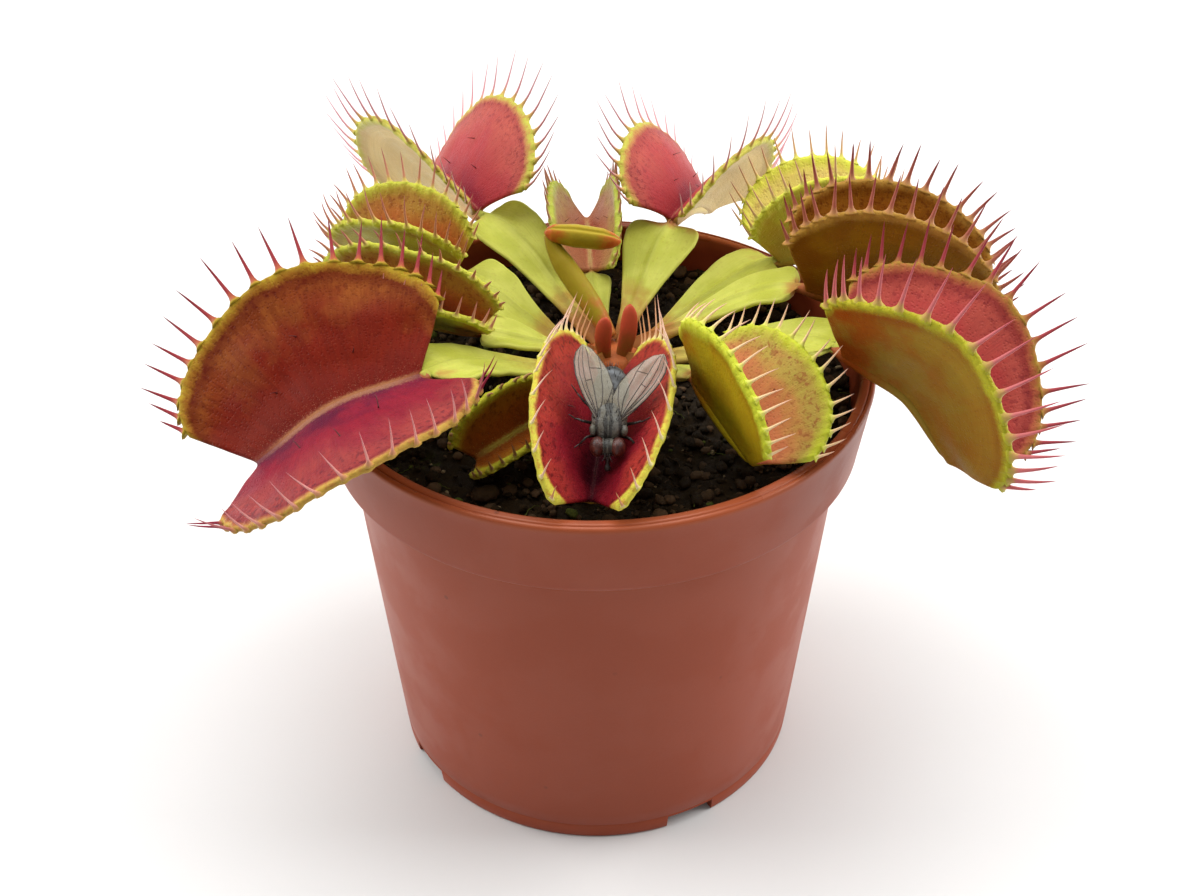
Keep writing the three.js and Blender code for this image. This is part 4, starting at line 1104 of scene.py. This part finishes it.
def make_crown():
    shape = Shape()
    side = [(2.4, 42), (3, 43.2), (3.2, 45), (3.2, 47.4), (3, 48.3), (2.5, 48.9), (1.6, 49.15)]
    side = resample([[r, 0, z] for r, z in side], 40)[:, ::2].tolist()
    points, faces = turned([[0, 42], *side, [0, 49.2]], 72)
    points[:, :2] *= (1 + 0.05 * wobble(points, 0.8, 21, 3))[:, None]
    points[:, :2] += CROWN_CENTRE
    shape.add(points, faces, share=smooth(44, 49, points[:, 2]))
    rng = random.Random(8)
    radii = 0.95 * np.sqrt(np.clip(1 - np.linspace(0, 1, 14) ** 2.2, 0.0004, 1))
    for k in range(9):
        way = heading_vector(40 * k + rng.uniform(-9, 9))
        foot = np.array([*CROWN_CENTRE, 46.4]) + way * 2.7
        tip = foot + way * 0.1 + [0, 0, 2.6 + rng.uniform(0, 0.5)]
        line = resample([foot, foot + way * 0.45 + [0, 0, 1.4], tip], 14)
        shape.add_tube(line, radii, 16, 0, way, np.full(14, 0.45), "share")
    shape.make("crown_bases", "crown", "crown", [fresh_material("crown_tissue", "#6a2418", "#a85a30")])


def make_shoots():
    material = fresh_material("young_shoot", "#8a5426", "#b04430", 0, 0.5)
    radii = 0.98 * np.interp(np.linspace(0, 1, 30), [0, 0.3, 0.5, 0.7, 0.85, 0.95, 1],
                             [0.8, 0.92, 1, 0.96, 0.8, 0.5, 0.08])
    for node, foot, tip, bow in (("shoot_left", (1, 1.7, 48.9), (1.2, 1.6, 54), (-0.25, -0.1)),
                                 ("shoot_right", (3, 1.9, 48.9), (3.8, 3, 54.8), (0.2, -0.25))):
        path = resample([foot, (np.array(foot) + np.array(tip)) / 2 + [*bow, 0], tip], 30)
        shape = Shape()
        shape.add_tube(path, radii, 24, 0, (0.4, 1, 0), np.full(30, 0.55), "share")
        shape.make(node + "_grown", node, "young_leaf", [material])


def make_young_leaf():
    shape = Shape()
    bends = [np.array(p) for p in ((1.6, 4.5, 49.6), (-0.4, 7.6, 53), (-4, 11.2, 54.8), (-5.2, 12.6, 58))]
    u = np.linspace(0, 1, 40)
    shape.add_tube(bezier(*bends, u), np.interp(u, [0, 0.3, 0.7, 0.9, 1], [0.85, 1.15, 1.2, 0.85, 0.6]), 24, 0,
                   (1, 0, 0), np.interp(u, [0, 0.5, 1], [1, 1.1, 0.9]), "share")
    head, tip = np.array([-5.6, 12.45, 58.35]), np.array([2.9, 11.6, 57.6])
    u = np.linspace(0, 1, 60)
    line = head + (tip - head) * u[:, None] + np.array([0, -0.35, 0.25]) * np.sin(math.pi * u)[:, None]
    radii = np.interp(u, [0, 0.04, 0.12, 0.4, 0.75, 0.9, 0.97, 1], [0.15, 0.65, 1.1, 1.42, 1.32, 0.9, 0.5, 0.1])
    up, turn, ring = unit(np.array([0, -0.55, 1.0])), spokes(56), []
    # The groove where the two closed lobes meet, on top.
    seam = np.exp(-(((turn - math.pi / 2 + math.pi) % (2 * math.pi) - math.pi) / 0.16) ** 2)
    for centre, step, radius in zip(line, unit(np.gradient(line, axis=0)), radii):
        high = unit(up - step * (up @ step))
        side = np.cross(step, high)
        ring.append(centre + (side * np.cos(turn)[:, None] * 0.86 + high * np.sin(turn)[:, None] * 1.05)
                    * (radius * (1 - 0.16 * seam))[:, None])
    shape.add(ring, ring_faces(60, 56), 1, share=np.repeat(np.abs(2 * u - 1), 56) - 0.5 * np.tile(seam, 60))
    shape.make("young_leaf_grown", "young_leaf", "young_leaf",
               [fresh_material("young_stem", "#a4602c", "#8c7c1c", 0, 0.35),
                fresh_material("closed_bud", "#a08c26", "#b04e22", 0.35, 0.85)])


# ---------------------------------------------------------------- fly
def on_fly(points):
    """Turns places counted along the fly's body, to its left and up into places from the pot's axis."""
    along = heading_vector(FLY_HEADING, FLY_PITCH)
    left = unit(np.cross([0, 0, 1], along))
    return np.array(FLY_SEAT) + np.asarray(points, float) @ np.stack([along, left, np.cross(along, left)])


def thorax_bend(points):
    x = points[:, 0]
    crease = 1 - 0.05 * np.exp(-((x - 0.05) / 0.07) ** 2) - 0.08 * np.exp(-((x + 0.78) / 0.08) ** 2)
    return points * crease[:, None] * (1 + 0.02 * wobble(points, 2.4, 3, 2)[:, None])


def abdomen_bend(points):
    x = points[:, 0]
    rings = 1 - 0.045 * sum(np.exp(-((x - place) / 0.045) ** 2) for place in (0.45, 0.05, -0.35, -0.7))
    return points * np.stack([np.ones_like(x), rings, rings], -1)


def make_fly(fly):
    shape, rng = Shape(), random.Random(5)

    def lobe(centre, size, slot=0, bend=None, around=40, rings=28):
        points, faces = ball(size, around, rings, bend)
        points = points + centre
        shape.add(on_fly(points), faces, slot, body_x=points[:, 0], body_y=points[:, 1])

    def limb(line, radii, sides):
        shape.add_tube(on_fly(line), radii, sides, 3)

    lobe((0, 0, 0), (2.15, 1.75, 1.6), 0, thorax_bend)
    lobe((-1.95, 0, 0.55), (0.75, 0.85, 0.5))
    lobe((-3.35, 0, -0.15), (2.35, 1.75, 1.4), 1, abdomen_bend)
    lobe((2.05, 0, -0.1), (0.5, 0.5, 0.5))
    lobe((2.65, 0, -0.15), (0.85, 1.2, 1.1))
    for hand in (1, -1):
        lobe((2.75, 0.98 * hand, 0.1), (0.96, 0.74, 1.06), 2, around=48, rings=32)
        lobe((1.1, 1.45 * hand, 0.35), (0.6, 0.4, 0.55), around=20, rings=14)
        feeler = [(3.45, 0.2 * hand, 0.15), (3.75, 0.24 * hand, -0.05), (3.85, 0.26 * hand, -0.4)]
        limb(resample(feeler, 8), np.linspace(0.13, 0.09, 8), 8)
        limb(resample([feeler[1], (4.25, 0.5 * hand, 0.1)], 6), np.linspace(0.035, 0.012, 6), 5)
        for hip, knee, ankle, foot in (
            ((1.1, 0.9, -0.9), (1.8, 2.1, 0.0), (2.3, 2.7, -0.5), (2.8, 3.2, -0.3)),
            ((0.1, 1.0, -1.0), (0.3, 2.6, 0.45), (0.0, 3.3, 0.2), (-0.3, 3.9, 0.5)),
            ((-0.9, 1.0, -0.9), (-1.7, 2.5, 0.4), (-2.5, 3.2, 0.5), (-3.2, 3.8, 0.9)),
        ):
            joints = [np.array(p) * [1, hand, 1] for p in (hip, knee, ankle, foot)]
            for a, b, thick, thin in zip(joints, joints[1:], (0.16, 0.11, 0.065), (0.12, 0.075, 0.04)):
                line = resample([a, (a + b) / 2 + [0, 0, 0.06], b], 10)
                swell = thick + (thin - thick) * np.linspace(0, 1, 10)
                limb(line, swell * (1 + 0.18 * np.sin(np.linspace(0, math.pi, 10))), 9)
            for _ in range(9):
                t = rng.random()
                root = joints[1] * (1 - t) + joints[2] * t
                tip = root + np.array([rng.uniform(-0.2, 0.2), rng.uniform(-0.2, 0.2), rng.choice((-1, 1)) * 0.3])
                limb([root, (root + tip) / 2, tip], [0.025, 0.018, 0.006], 4)
    snout = resample([(3.2, 0, -0.9), (3.7, 0, -1.35), (4.5, 0, -1.75)], 12)
    limb(snout, np.interp(np.linspace(0, 1, 12), [0, 0.6, 0.8, 1], [0.3, 0.2, 0.34, 0.22]), 14)
    for count, centre, size in ((80, (0, 0, 0), (2.1, 1.7, 1.58)), (70, (-3.35, 0, -0.15), (2.3, 1.7, 1.36)),
                                (26, (2.65, 0, -0.1), (0.85, 0.5, 1.1))):
        for _ in range(count):
            a, b = rng.uniform(0.15, math.pi - 0.15), rng.uniform(0.3, math.pi - 0.3)
            way = np.array([math.cos(a), math.sin(a) * math.cos(b), math.sin(a) * math.sin(b)])
            root = np.array(centre) + way * size
            tip = root + unit(way + np.array([-0.9, 0, 0.1])) * rng.uniform(0.35, 0.75)
            limb([root - 0.05 * way, (root + tip) / 2 + [0, 0, 0.03], tip], [0.03, 0.022, 0.006], 4)
    shape.make("fly_body", "caught_fly", "fly",
               [thorax_material(fly), abdomen_material(), eye_material(fly), leg_material(fly)])
    make_wings(fly.wing_length / MM)


def wing_point(hand, angle, lift, span, u, w):
    """A point of a wing, u along it and w from its back edge (-1) to its front edge (1)."""
    a = math.radians(angle)
    us, fronts, backs = zip(*WING_EDGE)
    u, w = np.broadcast_arrays(np.asarray(u, float), np.asarray(w, float))
    reach = np.where(w > 0, w * np.interp(u, us, fronts), w * np.interp(u, us, backs)) * 1.28
    out = np.array([-math.cos(a), math.sin(a) * hand, 0.03 + 0.03 * lift])
    broad = np.array([math.sin(a), math.cos(a) * hand, 0])
    found = np.array([0.5, 1.0 * hand, 1.1]) + out * (u * span)[..., None] + broad * reach[..., None]
    found[..., 2] += (0.05 * np.sin(w * 9) * np.sin(math.pi * u)
                      + (lift * np.sin(math.pi * u * 0.6) - 0.12 * w * w))
    return on_fly(found.reshape(-1, 3)).reshape(found.shape)


def make_wings(span):
    shape = Shape()
    u, w = np.linspace(0, 1, 60), np.linspace(-1, 1, 31)
    thin = np.zeros((60, 31))
    thin[1:-1, 1:-1] = 0.012
    veins = [(vein, 0.055) for vein in WING_VEINS]
    veins += [([(k, edge) for k in np.linspace(0.02, 1, 14)], thick) for edge, thick in ((1, 0.06), (-1, 0.03))]
    for hand, angle, lift in ((1, 30, 0.45), (-1, 14, 0.3)):
        middle = wing_point(hand, angle, lift, span, u[:, None], w[None])
        points, faces, row, _, _ = closed_sheet(middle, thin, thin)
        shape.add(points, faces, 0, span=u[row])
        for vein, thick in veins:
            line = resample([[*p, 0] for p in vein], 26)
            path = wing_point(hand, angle, lift, span, line[:, 0], line[:, 1])
            shape.add_tube(path, thick * (1 - 0.5 * line[:, 0]), 6, 1)
    shape.make("fly_wings", "caught_fly", "fly",
               [wing_material(), two_tone("wing_vein", 3000, "#1e1612", "#3a2c24")])


def thorax_material(fly):
    w = Material("fly_thorax")
    fine = w.grain(5200)
    uneven = abs(w.number("body_y")) + (w.noise(700) - 0.5) * 0.7
    stripes = w.spread(w.maths("SINE", uneven * 7.4), -0.2, 0.8, 0, 0.8)
    tone = w.layers(fly.body_colour, (w.patches(900) * 0.45, "#787c7c"), (stripes, fly.stripe_colour),
                    (fine["Grain"] * 0.35, "#23231f"))
    return w.finish_grainy(tone, fine, 0.4, 0.62, 0.1, 0.8)


def abdomen_material():
    w = Material("fly_abdomen")
    fine = w.grain(5200)
    bands = w.maths("SINE", w.number("body_x") * 5.2 + (w.noise(600) - 0.5) * 8)
    tone = w.layers("#2c2e30", (w.spread(bands, -0.8, 1), "#64686c"), (w.patches(700) * 0.5, "#34332e"))
    return w.finish_grainy(tone, fine, 0.34, 0.55, 0.08, 0.7)


def eye_material(fly):
    w = Material("fly_eye", Roughness=0.42, Coat_Weight=0.08)
    facets = w.cells(9000)
    tone = w.layers(fly.eye_colour, (w.spread(facets, 0.1, 0.6), "#240c08"), (w.patches(1200) * 0.4, "#6a3020"))
    return w.finish(tone, None, 1 - facets, 0.05, 0.6)


def leg_material(fly):
    w = Material("fly_leg")
    fine = w.grain(6000)
    return w.finish_grainy(w.blend(fine["Grain"] * 0.5, fly.stripe_colour, "#3a2c24"), fine, 0.32, 0.5, 0.04, 0.5)


def wing_material():
    w = Material("wing_membrane", Roughness=0.25)
    smoky, near = w.patches(520), w.spread(w.number("span"), 0, 0.6, 1, 0)
    w.feed(w.shader.inputs["Alpha"], w.spread(smoky, 0, 1, 0.34, 0.46) + near * 0.2)
    tone = w.layers("#b8b4a4", (smoky, "#98927e"), (near * 0.6, "#6a5a48"))
    return w.finish(tone, None, w.noise(1500), 0.05, 0.4)


# ---------------------------------------------------------------- stage
def make_stage(stage):
    scene = bpy.context.scene
    half = stage.floor_size / 2
    mesh = bpy.data.meshes.new("floor")
    mesh.from_pydata([(-half, -half, 0), (half, -half, 0), (half, half, 0), (-half, half, 0)], [], [(0, 1, 2, 3)])
    floor = bpy.data.objects.new("floor", mesh)
    scene.collection.objects.link(floor)
    w = Material("pale_floor", Roughness=0.55)
    mesh.materials.append(w.finish(w.blend(w.noise(60) * 0.08, stage.floor_colour, "#e9e7e3")))

    scene.world = world = bpy.data.worlds.new("soft_studio")
    world.use_nodes = True
    back = next(n for n in world.node_tree.nodes if n.type == "BACKGROUND")
    w = Wiring(world.node_tree)
    y, z = (w.add("SeparateXYZ", axis, (w.add("TexCoord", "Generated"),)) for axis in "YZ")
    w.feed(back.inputs["Color"], (1.0, 0.992, 0.98))
    w.feed(back.inputs["Strength"], w.spread(y + z * 0.8, -0.9, 0.7, 0.46, 1.25) * stage.sky)

    def place_facing(name, data, place, aim, turn=0):
        made = bpy.data.objects.new(name, data)
        made.location = place
        facing = (Vector(aim) - Vector(place)).to_track_quat("-Z", "Y").to_matrix()
        made.rotation_euler = (facing @ Matrix.Rotation(turn, 3, "Z")).to_euler()
        scene.collection.objects.link(made)
        return made

    side = (0.35, 0.5), (1, 0.995, 0.98)
    for name, place, aim, power, size, colour in (
        ("overhead", (-0.03, 0.1, 0.62), (0, 0, 0.03), stage.key_power, (0.5, 0.5), (1, 1, 1)),
        ("left_side", (-0.5, 0.08, 0.3), (0, 0, 0.04), stage.side_power, *side),
        ("right_side", (0.5, 0.08, 0.3), (0, 0, 0.04), stage.side_power * 1.2, *side),
    ):
        light = bpy.data.lights.new(name, "AREA")
        light.shape, light.size, light.size_y = "RECTANGLE", *size
        light.energy, light.color = power, colour
        place_facing(name, light, place, aim)

    camera = bpy.data.cameras.new("camera")
    camera.lens, camera.sensor_width, camera.sensor_fit = CAMERA_LENS, 36, "HORIZONTAL"
    camera.clip_start, camera.clip_end = 0.01, 20
    scene.camera = place_facing("camera", camera, CAMERA_PLACE, CAMERA_AIM, CAMERA_TILT)
    scene.view_settings.view_transform = "Standard"


# ---------------------------------------------------------------- operators
class FLYTRAP_OT_stage(bpy.types.Operator):
    """Makes the pale floor, the soft lights and the camera"""

    bl_idname = "flytrap.stage"
    bl_label = "Stage"

    def execute(self, context):
        make_stage(context.scene.flytrap_stage)
        return {"FINISHED"}


class FLYTRAP_OT_pot(bpy.types.Operator):
    """Makes the plastic nursery pot"""

    bl_idname = "flytrap.pot"
    bl_label = "Pot"

    def execute(self, context):
        make_pot(context.scene.flytrap_pot)
        return {"FINISHED"}


class FLYTRAP_OT_soil(bpy.types.Operator):
    """Makes the peat with its crumbs and fibres"""

    bl_idname = "flytrap.soil"
    bl_label = "Soil"

    def execute(self, context):
        make_soil(context.scene.flytrap_soil)
        return {"FINISHED"}


class FLYTRAP_OT_peat_lumps(bpy.types.Operator):
    """Makes the loose lumps of peat"""

    bl_idname = "flytrap.peat_lumps"
    bl_label = "Peat Lumps"

    def execute(self, context):
        make_peat_lumps(context.scene.flytrap_soil)
        return {"FINISHED"}


class FLYTRAP_OT_crown(bpy.types.Operator):
    """Makes the crown that the leaves grow from"""

    bl_idname = "flytrap.crown"
    bl_label = "Crown"

    def execute(self, context):
        make_crown()
        return {"FINISHED"}


class FLYTRAP_OT_leaves(bpy.types.Operator):
    """Grows the leaves with their open traps"""

    bl_idname = "flytrap.leaves"
    bl_label = "Leaves"

    def execute(self, context):
        settings = context.scene.flytrap_leaves
        shared = blade_material(settings), two_tone("trigger_hair", 4000, "#2c0a0c", "#5c1c1a")
        for leaf in LEAVES:
            make_leaf(leaf, settings, shared)
        return {"FINISHED"}


class FLYTRAP_OT_young_growth(bpy.types.Operator):
    """Grows the two shoots and the leaf that is still closed"""

    bl_idname = "flytrap.young_growth"
    bl_label = "Young Growth"

    def execute(self, context):
        make_shoots()
        make_young_leaf()
        return {"FINISHED"}


class FLYTRAP_OT_fly(bpy.types.Operator):
    """Makes the caught fly"""

    bl_idname = "flytrap.fly"
    bl_label = "Fly"

    def execute(self, context):
        make_fly(context.scene.flytrap_fly)
        return {"FINISHED"}


class FLYTRAP_PT_sidebar(bpy.types.Panel):
    """Lists the settings and the steps that make the plant"""

    bl_idname = "FLYTRAP_PT_sidebar"
    bl_label = "Potted Venus Flytrap"
    bl_space_type = "VIEW_3D"
    bl_region_type = "UI"
    bl_category = "Flytrap"

    def draw(self, context):
        for settings, group, steps in STEPS:
            box = self.layout.box()
            for key in group.__annotations__:
                box.prop(getattr(context.scene, settings), key)
            for step in steps:
                box.operator("flytrap." + step)


STEPS = (("flytrap_stage", StageSettings, ("stage",)), ("flytrap_pot", PotSettings, ("pot",)),
         ("flytrap_soil", SoilSettings, ("soil", "peat_lumps")),
         ("flytrap_leaves", LeafSettings, ("crown", "leaves", "young_growth")),
         ("flytrap_fly", FlySettings, ("fly",)))
CLASSES = (*(group for _, group, _ in STEPS), FLYTRAP_OT_stage, FLYTRAP_OT_pot, FLYTRAP_OT_soil,
           FLYTRAP_OT_peat_lumps, FLYTRAP_OT_crown, FLYTRAP_OT_leaves, FLYTRAP_OT_young_growth, FLYTRAP_OT_fly,
           FLYTRAP_PT_sidebar)


def register():
    for made in CLASSES:
        bpy.utils.register_class(made)
    for key, group, _ in STEPS:
        setattr(bpy.types.Scene, key, PointerProperty(type=group))


def unregister():
    for key, _, _ in STEPS:
        delattr(bpy.types.Scene, key)
    for made in reversed(CLASSES):
        bpy.utils.unregister_class(made)


def main():
    register()
    for _, _, steps in STEPS:
        for step in steps:
            getattr(bpy.ops.flytrap, step)()


if __name__ == "__main__":
    main()
